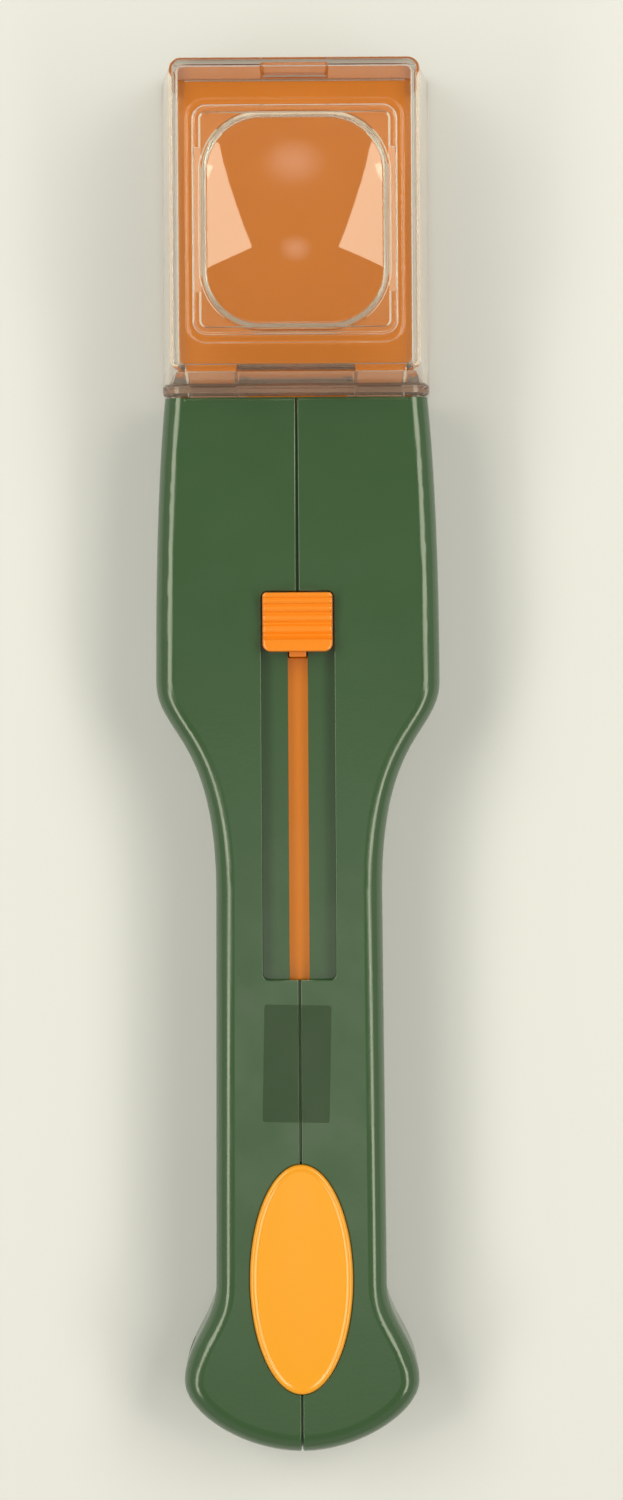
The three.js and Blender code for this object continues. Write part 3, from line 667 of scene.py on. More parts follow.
# %% Places of the screws, the bar and the door
screw_boxes = [box_mm(f"screw_{k}") for k in range(1, 5)]
screw_y = [(low[1] + high[1]) / 2 for low, high in screw_boxes]
screw_low, screw_high = screw_boxes[0]
z_screw = (screw_low[2] + screw_high[2]) / 2
screw_head = screw_high[2] - screw_low[2]
SHANK = 2.6
WELL_GAP = 0.5
well_diameter = screw_head + 2 * WELL_GAP
hole_diameter = SHANK + 2 * SEAT_GAP
BAR_THICKNESS = 3
bar_low, bar_high = box_mm("slide_bar")
z_bar_low = bar_high[2] - BAR_THICKNESS
DOOR_THICKNESS = 1.8
door_low, door_high = box_mm("trap_door")
z_door_roof = door_low[2] + DOOR_THICKNESS + SLIDE_GAP
print("screws along Y, mm:", [round(y, 1) for y in screw_y])

# %% Guides of the slide bar
GUIDE_HEIGHTS = [37, 73, 109]
GUIDE_THICKNESS = 1.5
OVER = 1  # how far small cuts and joints run over
print("bar guides above the foot, mm:", GUIDE_HEIGHTS)


def bar_guides():
    """Ribs across the grip, with a passage for the slide bar."""
    reach, passage = shell_high[0], bar_high[0] + SLIDE_GAP
    ribs = []
    for height in GUIDE_HEIGHTS:
        ys = span(GUIDE_THICKNESS, y_foot + height)
        rib = block([-reach, reach], ys, [0, z_front])
        way_y, way_z = [ys[0] - OVER, ys[1] + OVER], [z_bar_low - SLIDE_GAP, z_front + OVER]
        way = block([-passage, passage], way_y, way_z)
        ribs.append(combine(rib, "DIFFERENCE", [way]))
    return ribs


# %% Everything inside the shells
SLOT_WALL = 1.6
PAD_DEPTH = 2.8
DOOR_GUIDE_LENGTH = 56
DOOR_GUIDE_REACH = 2.4
DOOR_GUIDE_HEIGHT = 1.5
WELL_WALL = 1.3
HOLE_WALL = 2.6
TAB_SPACING = 32
TAB_LENGTH = 8
TAB_THICKNESS = 2
CATCH_SIZE = 3
print("tabs of the box, mm apart:", TAB_SPACING)


def inner_bodies(side):
    """Everything that stands on the inside of a shell's walls."""
    trough_x = SLOT_WIDTH / 2 + SLOT_WALL
    trough_y = [y_slot_low - SLOT_WALL, y_slot_top + SLOT_WALL]
    outer = side * shell_high[0]
    guide_x = sorted([side * (door_high[0] - DOOR_GUIDE_REACH), outer])
    guide_y = [y_mouth - DOOR_GUIDE_LENGTH, y_mouth - TAB_LENGTH]
    catch_x, catch_y = span(CATCH_SIZE, side * TAB_SPACING / 2), span(CATCH_SIZE, y_mouth - TAB_LENGTH / 2)
    boss = well_diameter + 2 * WELL_WALL if side < 0 else hole_diameter + 2 * HOLE_WALL
    return [
        block([-trough_x, trough_x], trough_y, [z_floor_low, z_front]),
        loft("pad", [oval(WALL, z) for z in (z_front - PAD_DEPTH, z_front)], INSIDE),
        block(guide_x, guide_y, [z_door_roof, z_door_roof + DOOR_GUIDE_HEIGHT]),
        block(catch_x, catch_y, [z_front - WALL - TAB_THICKNESS, z_front]),
        *[rod((y, z_screw), boss, sorted([0, outer]), "x") for y in screw_y],
        *bar_guides()]


# %% Tools that cut the screws' holes
SCREW_SEAT = 6
print("screw well and hole, mm:", round(well_diameter, 1), round(hole_diameter, 1))


def screw_tools(side):
    """Holes for the screws: a well and a clearance hole on the left, a thread hole on the right."""
    tools = []
    for y in screw_y:
        if side > 0:
            tools.append(rod((y, z_screw), hole_diameter, (-OVER, screw_high[0] + SLIDE_GAP), "x"))
        else:
            tools.append(rod((y, z_screw), hole_diameter, (-SCREW_SEAT - OVER, OVER), "x"))
            tools.append(rod((y, z_screw), well_diameter, (-2 * shell_high[0], -SCREW_SEAT), "x", WELL))
    return tools


# %% Tongues that close the seam
SLOT_ROUND = 0.25
TONGUE_GAP = 0.03
TONGUE_DROP = 0.9
TONGUE_TO_SEAT = 0.5
print("depth of the seam's groove, mm:", TONGUE_DROP)


def seam_tongues():
    """Thin tongues of the left shell that close the seam below its groove, clear of the slot and the oval."""
    xs = [-WALL, seam_half - TONGUE_GAP]
    zs = [z_front - WALL + TONGUE_GAP, z_front - TONGUE_DROP]
    stretches = [
        (y_foot + EDGE_RADIUS, inlay_low[1] - TONGUE_TO_SEAT),
        (inlay_high[1] + TONGUE_TO_SEAT, y_slot_low - SLOT_ROUND),
        (y_slot_top + SLOT_ROUND, y_mouth - TONGUE_GAP)]
    round_foot = combine(handle_body(TONGUE_DROP, INSIDE), "INTERSECT", [
        block(xs, [y_foot, y_foot + EDGE_RADIUS + WALL], [EDGE_RADIUS, z_front])])
    combine(round_foot, "DIFFERENCE", [handle_cavity()])
    return [round_foot, *[block(xs, ys, zs) for ys in stretches]]


# %% Make both shells
SEAM_ROUND = 0.35
MOUTH_ROUND = 0.9
SEAT_ROUND = 0.2
WELL_ROUND = 0.3
meeting_radii = {
    frozenset({OUTSIDE, SEAM}): SEAM_ROUND, frozenset({OUTSIDE, MOUTH}): MOUTH_ROUND,
    frozenset({OUTSIDE, SLOT}): SLOT_ROUND, frozenset({OUTSIDE, SEAT}): SEAT_ROUND,
    frozenset({OUTSIDE, WELL}): WELL_ROUND}


def handle_shell(name, side):
    """One half of the handle, on the side given by its sign."""
    shell = handle_body()
    shell.name = name
    combine(shell, "DIFFERENCE", [handle_cavity()])
    filling = inner_bodies(side)
    inside = combine(filling[0], "UNION", filling[1:])
    combine(inside, "INTERSECT", [handle_body(WALL / 2, INSIDE)])
    combine(shell, "UNION", [inside])
    combine(shell, "DIFFERENCE", [*slot_tools(), *seat_tools(), *screw_tools(side)])
    ends, levels = [y_foot - PAST, y_mouth + 2 * PAST], [-PAST, z_front + PAST]
    wide = 2 * shell_high[0]
    other_half = block(sorted([side * seam_half, -side * wide]), ends, levels, SEAM)
    beyond = block([-wide, wide], [y_mouth, y_mouth + 2 * PAST], levels, MOUTH)
    combine(shell, "DIFFERENCE", [other_half, beyond])
    round_meetings(shell, meeting_radii)
    if side < 0:
        combine(shell, "UNION", seam_tongues())
    return shell


finish_piece(handle_shell("handle_left", -1), "handle", green_abs, "green_plastic", "left_shell")
finish_piece(handle_shell("handle_right", 1), "handle", green_abs, "green_plastic", "right_shell")

# %% [markdown]
# ## The oval
# The amber oval near the foot is an inlay with a round bead along its edge and a face that is a little
# crowned. It is a loft of ovals, each drawn in a bit more than the last, so one short profile makes the
# whole shape.

# %% Oval inlay
BEAD_WIDTH = 1.5
BEAD_RISE = 0.8
FACE_DROP = 0.22  # the face lies this far under the bead's crest
FACE_CROWN = 0.14
BEAD_STEPS = 10
FACE_STEPS = 8


def oval_inlay():
    """A loft from the underside, up the edge, over the bead and in across the face."""
    low, crest = z_front - INLAY_DEPTH + SEAT_GAP, inlay_high[2]
    rings = [oval(0, low), oval(0, crest - BEAD_RISE)]
    for left, gone in arc_steps(BEAD_STEPS)[1:]:
        rings.append(oval(-BEAD_WIDTH / 2 * gone, crest - BEAD_RISE * left))
    for share in np.linspace(0, 1, BEAD_STEPS + 1)[1:]:
        fall = (1 - math.cos(math.pi * share)) / 2
        rings.append(oval(-BEAD_WIDTH / 2 * (1 + share), crest - FACE_DROP * fall))
    inner = inlay_high[0] - BEAD_WIDTH
    for share in np.linspace(0, 1, FACE_STEPS + 1)[1:-1]:
        rise = FACE_CROWN * (1 - (1 - share) ** 2)
        rings.append(oval(-BEAD_WIDTH - share * inner, crest - FACE_DROP + rise))
    inlay = loft("inlay_oval", rings)
    posts = [rod((0, y), POST_DIAMETER, (inlay_low[2], low + FACE_DROP), "z") for y in post_places]
    return combine(inlay, "UNION", posts)


finish_piece(oval_inlay(), "handle", amber_abs, "amber_plastic", "oval_inlay")

# %% [markdown]
# ## The thumb button
# The button is a dished pad with five grip grooves that spread out towards its lower end, and a raised lip
# below them. Its top is a height for every point: the dish, less the grooves, less a drop near the edge that
# rounds it. The rows of the grid follow the rounded corners, so the sides go straight down from its border.

# %% Dish, grooves and lip of the thumb button
button_low, button_high = box_mm("thumb_button")
BUTTON_LENGTH = 12.05
BUTTON_DISH = 0.9
GROOVES = 5
GROOVE_FIRST = 1.2
GROOVE_PITCH = 1.35
GROOVE_GROWTH = 0.35
GROOVE_HALF = 0.22
GROOVE_WIDENING = 0.09
GROOVE_STEEPNESS = 1.35
LIP_START, LIP_END = 9.35, 9.7
LIP_RISE = 0.35
groove_places = [
    GROOVE_FIRST + GROOVE_PITCH * k + GROOVE_GROWTH * k * (k - 1) / 2 for k in range(GROOVES)]
print("grooves below the upper end, mm:", [round(place, 2) for place in groove_places])


def smooth_step(low, high, value):
    """0 below low, 1 above high, and a smooth rise between."""
    share = np.clip((value - low) / (high - low), 0, 1)
    return share * share * (3 - 2 * share)


def button_level(down):
    """The pad's level at a distance from its upper end, without its rounded border."""
    level = button_high[2] - BUTTON_DISH * np.sin(math.pi * np.clip(down / BUTTON_LENGTH, 0, 1))
    for k, place in enumerate(groove_places):
        half = GROOVE_HALF + GROOVE_WIDENING * k
        level -= GROOVE_STEEPNESS * half * np.exp(-((down - place) / half) ** 2)
    return level + LIP_RISE * smooth_step(LIP_START, LIP_END, down) * (down < BUTTON_LENGTH)


# %% Border of the thumb button
TOP_CORNER = 0.8
LOW_CORNER = 1.7
half_width = button_high[0]
print("pad, mm:", round(2 * half_width, 2), "by", BUTTON_LENGTH)


def border_distance(x, down):
    """How far inside the pad's rounded rectangle a point is."""
    corner = np.where(down < BUTTON_LENGTH / 2, TOP_CORNER, LOW_CORNER)
    past_x = np.abs(x) - (half_width - corner)
    past_y = np.abs(down - BUTTON_LENGTH / 2) - (BUTTON_LENGTH / 2 - corner)
    outside = np.hypot(np.maximum(past_x, 0), np.maximum(past_y, 0))
    return corner - outside - np.minimum(np.maximum(past_x, past_y), 0)


# %% Pad of the thumb button
BUTTON_END_GAP = 0.35
BUTTON_EDGE = 0.55
ROWS = 220
COLUMNS = 72
ROW_CROWDING = 0.35  # how much closer the rows lie at both ends
y_button_top = y_slot_top - BUTTON_END_GAP
print("points on the pad:", ROWS * COLUMNS)


def button_cap():
    """The pad: a grid of heights with straight sides and a flat underside."""
    crowded = (1 - np.cos(np.linspace(0, math.pi, ROWS))) / 2
    down = BUTTON_LENGTH * (ROW_CROWDING * crowded + (1 - ROW_CROWDING) * np.linspace(0, 1, ROWS))
    corner = np.where(down < BUTTON_LENGTH / 2, TOP_CORNER, LOW_CORNER)
    into = np.maximum(corner - np.minimum(down, BUTTON_LENGTH - down), 0)
    half = half_width - corner + np.sqrt(np.maximum(corner ** 2 - into ** 2, 0))
    across = np.sin(np.linspace(-math.pi / 2, math.pi / 2, COLUMNS))
    x = np.outer(half, across)
    depth = np.repeat(down[:, None], COLUMNS, axis=1)
    inside = np.clip(border_distance(x, depth), 0, BUTTON_EDGE)
    drop = BUTTON_EDGE - np.sqrt(BUTTON_EDGE ** 2 - (BUTTON_EDGE - inside) ** 2)
    z = button_level(depth) - drop
    top = [(x[r, c], y_button_top - down[r], z[r, c]) for r in range(ROWS) for c in range(COLUMNS)]
    index = np.arange(ROWS * COLUMNS).reshape(ROWS, COLUMNS)
    faces = [
        (index[r, c], index[r + 1, c], index[r + 1, c + 1], index[r, c + 1])
        for r in range(ROWS - 1) for c in range(COLUMNS - 1)]
    border = [*index[0], *index[1:, -1], *index[-1, -2::-1], *index[-2:0:-1, 0]]
    base = len(top)
    underside = z_floor_top + SLIDE_GAP
    low = [(top[i][0], top[i][1], underside) for i in border]
    count = len(border)
    for i in range(count):
        following = (i + 1) % count
        faces.append((border[i], border[following], base + following, base + i))
    faces.append(range(base, base + count))
    return new_piece("button_thumb", top + low, faces)


# %% Pad and neck of the thumb button
NECK_LENGTH = 10.5
NECK_ROUND = 0.2


def thumb_button():
    """The pad with the neck that reaches through the slit into the bar."""
    half_neck = SLIT_WIDTH / 2 - SLIDE_GAP
    ys = [button_low[1], button_low[1] + NECK_LENGTH]
    neck = block([-half_neck, half_neck], ys, [button_low[2], z_floor_top + SLIDE_GAP + OVER])
    round_sharp_edges(neck, NECK_ROUND)
    return combine(button_cap(), "UNION", [neck])


finish_piece(thumb_button(), "slide", orange_abs, "orange_plastic", "thumb_button")

# %% [markdown]
# ## The slide bar and the trap door
# The bar lies under the slit, where a strip of it shows, and its web goes down into a socket on the door. The
# door is a thin plate with drawn-in rear corners, which clear the shoulders as it slides back. Their faces
# are flat, so both are blocks and plates that are joined and cut. A bevel then gives them the small round
# that any moulded edge has.

# %% Slide bar
WEB_WIDTH = 3.2
WEB_LENGTH = 10
NECK_FIT = 0.05
BAR_ROUND = 0.25
y_web_low, y_web_top = bar_high[1] - WEB_LENGTH, bar_high[1]


def slide_bar():
    """The bar with its web, and the pocket for the button's neck."""
    bar = block([bar_low[0], bar_high[0]], [bar_low[1], bar_high[1]], [z_bar_low, bar_high[2]])
    bar.name = "bar_slide"
    web = block(span(WEB_WIDTH), [y_web_low, y_web_top], [bar_low[2], z_bar_low + OVER])
    half = SLIT_WIDTH / 2 - SLIDE_GAP + SEAT_GAP
    ys = [button_low[1] - NECK_FIT, button_low[1] + NECK_LENGTH + SEAT_GAP]
    pocket = block([-half, half], ys, [z_bar_low - OVER, bar_high[2] + OVER])
    combine(bar, "UNION", [web])
    combine(bar, "DIFFERENCE", [pocket])
    round_sharp_edges(bar, BAR_ROUND)
    return bar


finish_piece(slide_bar(), "slide", orange_abs, "orange_plastic", "slide_bar")

# %% Trap door
REAR_LENGTH = 7
REAR_WIDTH = 4.4
DOOR_REAR = 2
TONGUE_WIDTH = 16
SOCKET_WALL = 2
DOOR_ROUND = 0.3
DOOR_SHARP_ANGLE = 30  # the drawn-in corners turn less than others


def trap_door():
    """The plate with its tongue, and the socket for the bar's web."""
    half, tongue = door_high[0], TONGUE_WIDTH / 2
    y_rear, y_tail, y_tip = y_mouth + DOOR_REAR, door_low[1], door_high[1]
    y_step = y_rear - REAR_LENGTH
    rear = half - REAR_WIDTH
    side = [(tongue, y_tail), (tongue, y_step), (rear, y_step), (half, y_rear), (half, y_tip)]
    outline = side + [(-x, y) for x, y in side[::-1]]
    z_top = door_low[2] + DOOR_THICKNESS
    door = loft("door_trap", [flat_ring(outline, z) for z in (door_low[2], z_top)])
    pocket_x = WEB_WIDTH / 2 + SEAT_GAP
    socket_x = pocket_x + SOCKET_WALL
    socket = block([-socket_x, socket_x], [y_tail, y_mouth - SEAT_GAP], [door_low[2], door_high[2]])
    ys = [y_web_low - SEAT_GAP, y_web_top + SEAT_GAP]
    pocket = block([-pocket_x, pocket_x], ys, [z_top, door_high[2] + OVER])
    combine(door, "UNION", [socket])
    combine(door, "DIFFERENCE", [pocket])
    round_sharp_edges(door, DOOR_ROUND, DOOR_SHARP_ANGLE)
    return door


finish_piece(trap_door(), "slide", orange_abs, "orange_plastic", "trap_door")

# %% [markdown]
# ## The clear box
# The box leans in from its open rim to its front plate, where a raised boss holds the lens. A clear piece
# shows every edge, and a real moulding has none that is quite sharp: the small rounds bend the light into
# the bright lines that draw the box, which a painted pale glow brightens where rays stay trapped in a wall.
# So the box is one loop of rings: up the outside, over the plate and the boss, down through the lens opening,
# along the inside and round the rails, back to the rim.

# %% Rings of the box
RIM_HALF = chamber_high[0]
PLATE_HALF = 25.2
FAR_LEAN = 2.5
NEAR_LEAN = 4
CHAMBER_HEIGHT = 36
CHAMBER_CORNER = 2.4
SIDE_STEPS = 20
y_flange = y_mouth + SEAT_GAP


def ring_of(arcs, z):
    """A closed ring through four corner arcs, with the same number of points on each straight side."""
    points = []
    for arc, following in zip(arcs, arcs[1:] + arcs[:1]):
        shares = np.linspace(0, 1, SIDE_STEPS + 1)[1:-1, None]
        points += [*arc, *(arc[-1] + shares * (following[0] - arc[-1]))]
    return flat_ring(points, z)


def leaning_ring(inset, z, corner):
    """A ring of the leaning walls, drawn in by inset."""
    share = z / CHAMBER_HEIGHT
    half = RIM_HALF + share * (PLATE_HALF - RIM_HALF) - inset
    near, far = y_flange + share * NEAR_LEAN + inset, y_far - share * FAR_LEAN - inset
    return ring_of(corner_arcs(half, near, far, corner), z)


print("points in a ring of the box:", len(leaning_ring(0, 0, CHAMBER_CORNER)))

# %% Outlines round the lens
lens_low, lens_high = box_mm("magnifier_lens")
frame_low, frame_high = box_mm("lens_frame")
LENS_CORNER = 12
FRAME_CORNER = 2.8
BOSS_WIDTH = 43.5
BOSS_LENGTH = 49.2
BOSS_CORNER = 3.8
y_lens = (lens_low[1] + lens_high[1]) / 2
outlines = {
    "lens": (lens_high[0], (lens_high[1] - lens_low[1]) / 2, LENS_CORNER),
    "frame": (frame_high[0], (frame_high[1] - frame_low[1]) / 2, FRAME_CORNER),
    "boss": (BOSS_WIDTH / 2, BOSS_LENGTH / 2, BOSS_CORNER)}


def outline_ring(part, grow, z):
    """The outline of the lens, its frame or its boss, moved out by grow."""
    half_x, half_y, corner = [size + grow for size in outlines[part]]
    return ring_of(corner_arcs(half_x, y_lens - half_y, y_lens + half_y, corner), z)


print("points in a ring round the lens:", len(outline_ring("lens", 0, 0)))

# %% Outside of the box
PLATE_EDGE = 0.8
PLATE_STEPS = 6
BOSS_EDGE = 0.45
BOSS_STEPS = 4
FINE_EDGE = 0.2
z_boss = chamber_high[2]


def outer_rings():
    """Up the walls from the rim, round the plate's edge and over the boss."""
    rings = [leaning_ring(FINE_EDGE, 0, CHAMBER_CORNER - FINE_EDGE)]
    rings.append(leaning_ring(0, FINE_EDGE, CHAMBER_CORNER))
    for drawn, risen in arc_steps(PLATE_STEPS)[::-1]:
        inset = PLATE_EDGE * drawn
        rings.append(leaning_ring(inset, CHAMBER_HEIGHT - PLATE_EDGE * risen, CHAMBER_CORNER - inset))
    for drawn, risen in arc_steps(BOSS_STEPS):
        rings.append(outline_ring("boss", BOSS_EDGE * drawn, CHAMBER_HEIGHT + BOSS_EDGE * risen))
    for drawn, risen in arc_steps(BOSS_STEPS)[::-1]:
        rings.append(outline_ring("boss", -BOSS_EDGE * drawn, z_boss - BOSS_EDGE * risen))
    return rings


print("rings of the outside:", len(outer_rings()))

# %% Lens opening
PLATE_THICKNESS = 2
FINE_STEPS = 3
LENS_LIP = 1
POCKET_GAP = 0.06  # round the lens frame
z_plate_low = CHAMBER_HEIGHT - PLATE_THICKNESS
z_lens_seat = z_plate_low + PLATE_THICKNESS / 2
z_frame_low = frame_low[2]


def opening_rings():
    """Down through the boss: the frame's pocket, the lens's seat and the lip under it."""
    z_pocket = z_frame_low - SEAT_GAP
    steps = [
        ("frame", POCKET_GAP + FINE_EDGE * drawn, z_boss - FINE_EDGE * risen)
        for drawn, risen in arc_steps(FINE_STEPS)]
    steps += [
        ("frame", POCKET_GAP, z_pocket), ("lens", SEAT_GAP + FINE_EDGE, z_pocket),
        ("lens", SEAT_GAP, z_pocket - FINE_EDGE), ("lens", SEAT_GAP, z_lens_seat),
        ("lens", -LENS_LIP + FINE_EDGE, z_lens_seat), ("lens", -LENS_LIP, z_lens_seat - FINE_EDGE),
        ("lens", -LENS_LIP, z_plate_low)]
    return [outline_ring(*step) for step in steps]


print("rings of the opening:", len(opening_rings()))

# %% Inside of the box
CHAMBER_WALL = 1.6
INNER_EDGE = 0.3
INNER_STEPS = 5
RAIL_HEIGHT = 1.4
RAIL_REACH = 1.4
FLANGE_THICKNESS = 2.6
inner_corner = CHAMBER_CORNER - CHAMBER_WALL
groove_half = door_high[0] + SLIDE_GAP
y_flange_far = y_flange + FLANGE_THICKNESS


def inner_rings():
    """Across the plate's underside, down the inside and round the rails to the rim."""
    rings = []
    for drawn, risen in arc_steps(INNER_STEPS):
        z = z_plate_low - INNER_EDGE * risen
        rings.append(leaning_ring(CHAMBER_WALL + INNER_EDGE * drawn, z, inner_corner + INNER_EDGE))
    z_rail = z_door_roof + RAIL_HEIGHT
    rail_half = door_high[0] - RAIL_REACH
    rings.append(leaning_ring(CHAMBER_WALL, z_rail + FINE_EDGE, inner_corner))
    levels = [
        (rail_half, z_rail), (rail_half, z_door_roof), (groove_half, z_door_roof), (groove_half, WALL),
        (rail_half, WALL), (rail_half, 0)]
    y_end = y_far - CHAMBER_WALL
    return rings + [ring_of(corner_arcs(half, y_flange_far, y_end, inner_corner), z) for half, z in levels]


print("rings of the inside:", len(inner_rings()))

# %% Flange and tabs
FLANGE_STEP = 0.4
FLANGE_EDGE = 0.6
TAB_WIDTH = 11.2
print("flange width, mm:", MOUTH_WIDTH + 2 * FLANGE_STEP)


def flange():
    """The plate that closes the handle's mouth, with the handle's own rounded section."""
    half = MOUTH_WIDTH / 2 + FLANGE_STEP
    near, far = y_flange, y_flange_far
    steps = [(FLANGE_EDGE, near), (0, near + FLANGE_EDGE), (0, far - FLANGE_EDGE), (FLANGE_EDGE, far)]
    rings = []
    for inset, y in steps:
        section = np.vstack(corner_arcs(half - inset, inset, z_front - inset, EDGE_RADIUS - inset))
        rings.append([(x, y, z) for x, z in section])
    return loft("flange", rings)


def tab(side):
    """A tab that reaches into the head, with a window for the shell's catch."""
    x, top = side * TAB_SPACING / 2, z_front - WALL - SEAT_GAP
    low, window = top - TAB_THICKNESS, CATCH_SIZE + 2 * SEAT_GAP
    body = block(span(TAB_WIDTH, x), [y_mouth - TAB_LENGTH, y_flange + OVER], [low, top])
    return combine(body, "DIFFERENCE", [
        block(span(window, x), span(window, y_mouth - TAB_LENGTH / 2), [low - OVER, top + OVER])])


# %% Panels in the end walls
PANEL_DEPTH = 0.6
PANEL_CORNER = 0.8
PANEL_REACH = 3
print("wall left behind a panel, mm:", CHAMBER_WALL - PANEL_DEPTH)


def wall_panel(xs, far):
    """A tool for a thin panel in an end wall, leaning with the wall."""
    rings = []
    for z in (z_door_roof + 2 * RAIL_HEIGHT, z_plate_low - INNER_EDGE):
        share = z / CHAMBER_HEIGHT
        deep = CHAMBER_WALL - PANEL_DEPTH
        wall = y_far - share * FAR_LEAN - deep if far else y_flange + share * NEAR_LEAN + deep
        clear = wall - PANEL_REACH if far else wall + PANEL_REACH
        middle, half = sum(xs) / 2, (xs[1] - xs[0]) / 2
        arcs = corner_arcs(half, min(wall, clear), max(wall, clear), PANEL_CORNER)
        rings.append([(middle + px, py, z) for px, py in np.vstack(arcs)])
    return loft("panel", rings)


# %% Make the box
FAR_PANEL_WIDTH = 14
NEAR_RIB_WIDTH = 23.6
PANEL_INSET = 4


def viewing_chamber():
    """The loop of rings, with the flange and tabs joined on and the door's slot cut through."""
    chamber = loft("chamber_viewing", outer_rings() + opening_rings() + inner_rings(), joined=True)
    combine(chamber, "UNION", [flange(), tab(-1), tab(1)])
    inner_half = RIM_HALF - CHAMBER_WALL - PANEL_INSET
    rib = NEAR_RIB_WIDTH / 2
    slot_y = [y_mouth - PAST, y_flange_far + OVER]
    slot = block([-groove_half, groove_half], slot_y, [WALL, z_door_roof])
    combine(chamber, "DIFFERENCE", [
        wall_panel(span(FAR_PANEL_WIDTH), True), wall_panel([-inner_half, -rib], False),
        wall_panel([rib, inner_half], False), slot])
    near_end = y_flange + NEAR_LEAN + CHAMBER_WALL
    far_end = y_far - FAR_LEAN - CHAMBER_WALL
    # The flange and the end walls take the shaded copies of the acrylic, whose edges are painted darker.
    for face in chamber.data.polygons:
        _, y, z = face.center / MM
        if y < y_flange_far + FINE_EDGE and z < z_front + FINE_EDGE:
            face.material_index = FLANGE
        else:
            face.material_index = OUTSIDE if near_end < y < far_end else END_WALL
    return chamber


finish_piece(
    viewing_chamber(), "handle", chamber_acrylic, "clear_plastic", "viewing_chamber",
    others={FLANGE: flange_shaded_acrylic, END_WALL: end_wall_shaded_acrylic})

# %% [markdown]
# ## The lens and its frame
# The lens is a rounded rectangle with a thin rim that its frame holds down. Its two faces are parts of
# spheres, so its shape follows a rule: a flat blank is moulded with its rim first, and then a Geometry Nodes
# tree grinds the blank's faces to the two radii that are set on it.

# %% Blank of the lens
LENS_RINGS = 22
LENS_RIM = 1
LENS_RIM_ROUND = 0.15
z_lens_low = z_lens_seat + SEAT_GAP
z_lens_edge = z_lens_low + LENS_RIM


def lens_blank():
    """A flat blank with its rim. The attribute face is 1 on its front, -1 on its back and 0 on the rim."""
    dome, drawn = -LENS_LIP - SEAT_GAP, LENS_RIM_ROUND
    middle = np.array([0, y_lens])

    def disc(z):
        border = np.array([point[:2] for point in outline_ring("lens", dome, z)])
        shares = [k / LENS_RINGS for k in range(1, LENS_RINGS + 1)]
        return [flat_ring(middle + share * (border - middle), z) for share in shares]

    front, back = disc(z_lens_edge), disc(z_lens_low)
    steps = [
        (dome, z_lens_low), (-drawn, z_lens_low), (0, z_lens_low + drawn), (0, z_lens_edge - drawn),
        (-drawn, z_lens_edge), (dome, z_lens_edge)]
    rim = [outline_ring("lens", grow, z) for grow, z in steps]
    blank = loft("lens_magnifier", back + rim + front[::-1])
    count = len(front[0])
    faces = [-1.0] * (len(back) * count) + [0.0] * (len(rim) * count) + [1.0] * (len(front) * count)
    blank.data.attributes.new("face", "FLOAT", "POINT").data.foreach_set("value", faces)
    return blank


lens = lens_blank()
print("points of the blank:", len(lens.data.vertices))

# %% Start, run and end a tree
print("node trees so far:", len(bpy.data.node_groups))


def new_tree(name, sockets):
    """A Geometry Nodes tree with named inputs. Returns it with its input and output nodes."""
    tree = bpy.data.node_groups.new(name, "GeometryNodeTree")
    tree.interface.new_socket("Geometry", in_out="INPUT", socket_type="NodeSocketGeometry")
    tree.interface.new_socket("Geometry", in_out="OUTPUT", socket_type="NodeSocketGeometry")
    for label, kind in sockets.items():
        tree.interface.new_socket(label, in_out="INPUT", socket_type=kind)
    return tree, add_node(tree, "NodeGroupInput"), add_node(tree, "NodeGroupOutput")


def apply_tree(piece, tree, values):
    """Runs a tree on a piece with its inputs set, and keeps the result as a plain mesh."""
    modifier = piece.modifiers.new(tree.name, "NODES")
    modifier.node_group = tree
    sockets = [item for item in tree.interface.items_tree if item.in_out == "INPUT"]
    identifiers = {item.name: item.identifier for item in sockets}
    for label, value in values.items():
        modifier[identifiers[label]] = value
    settle(piece)


def end_tree(tree, source, geometry, output):
    """Ends a tree: instances become real and take the material input."""
    real = add_node(tree, "GeometryNodeRealizeInstances", None, {"Geometry": geometry})
    painted = add_node(
        tree, "GeometryNodeSetMaterial", None,
        {"Geometry": real.outputs["Geometry"], "Material": source.outputs["Material"]})
    tree.links.new(painted.outputs["Geometry"], output.inputs["Geometry"])


# %% Tree that grinds a lens
def sag_nodes(tree, inputs, radius, square):
    """How far a face of this radius stands above the rim, from a squared distance to its axis."""
    squares = {}
    for name in (radius, "Aperture"):
        both = {0: inputs[name], 1: inputs[name]}
        squares[name] = add_node(tree, "ShaderNodeMath", None, both, operation="MULTIPLY").outputs[0]
    levels = []
    for away in (square, squares["Aperture"]):
        left = add_node(
            tree, "ShaderNodeMath", None, {0: squares[radius], 1: away}, operation="SUBTRACT").outputs[0]
        levels.append(add_node(tree, "ShaderNodeMath", None, {0: left}, operation="SQRT").outputs[0])
    return add_node(
        tree, "ShaderNodeMath", None, {0: levels[0], 1: levels[1]}, operation="SUBTRACT").outputs[0]


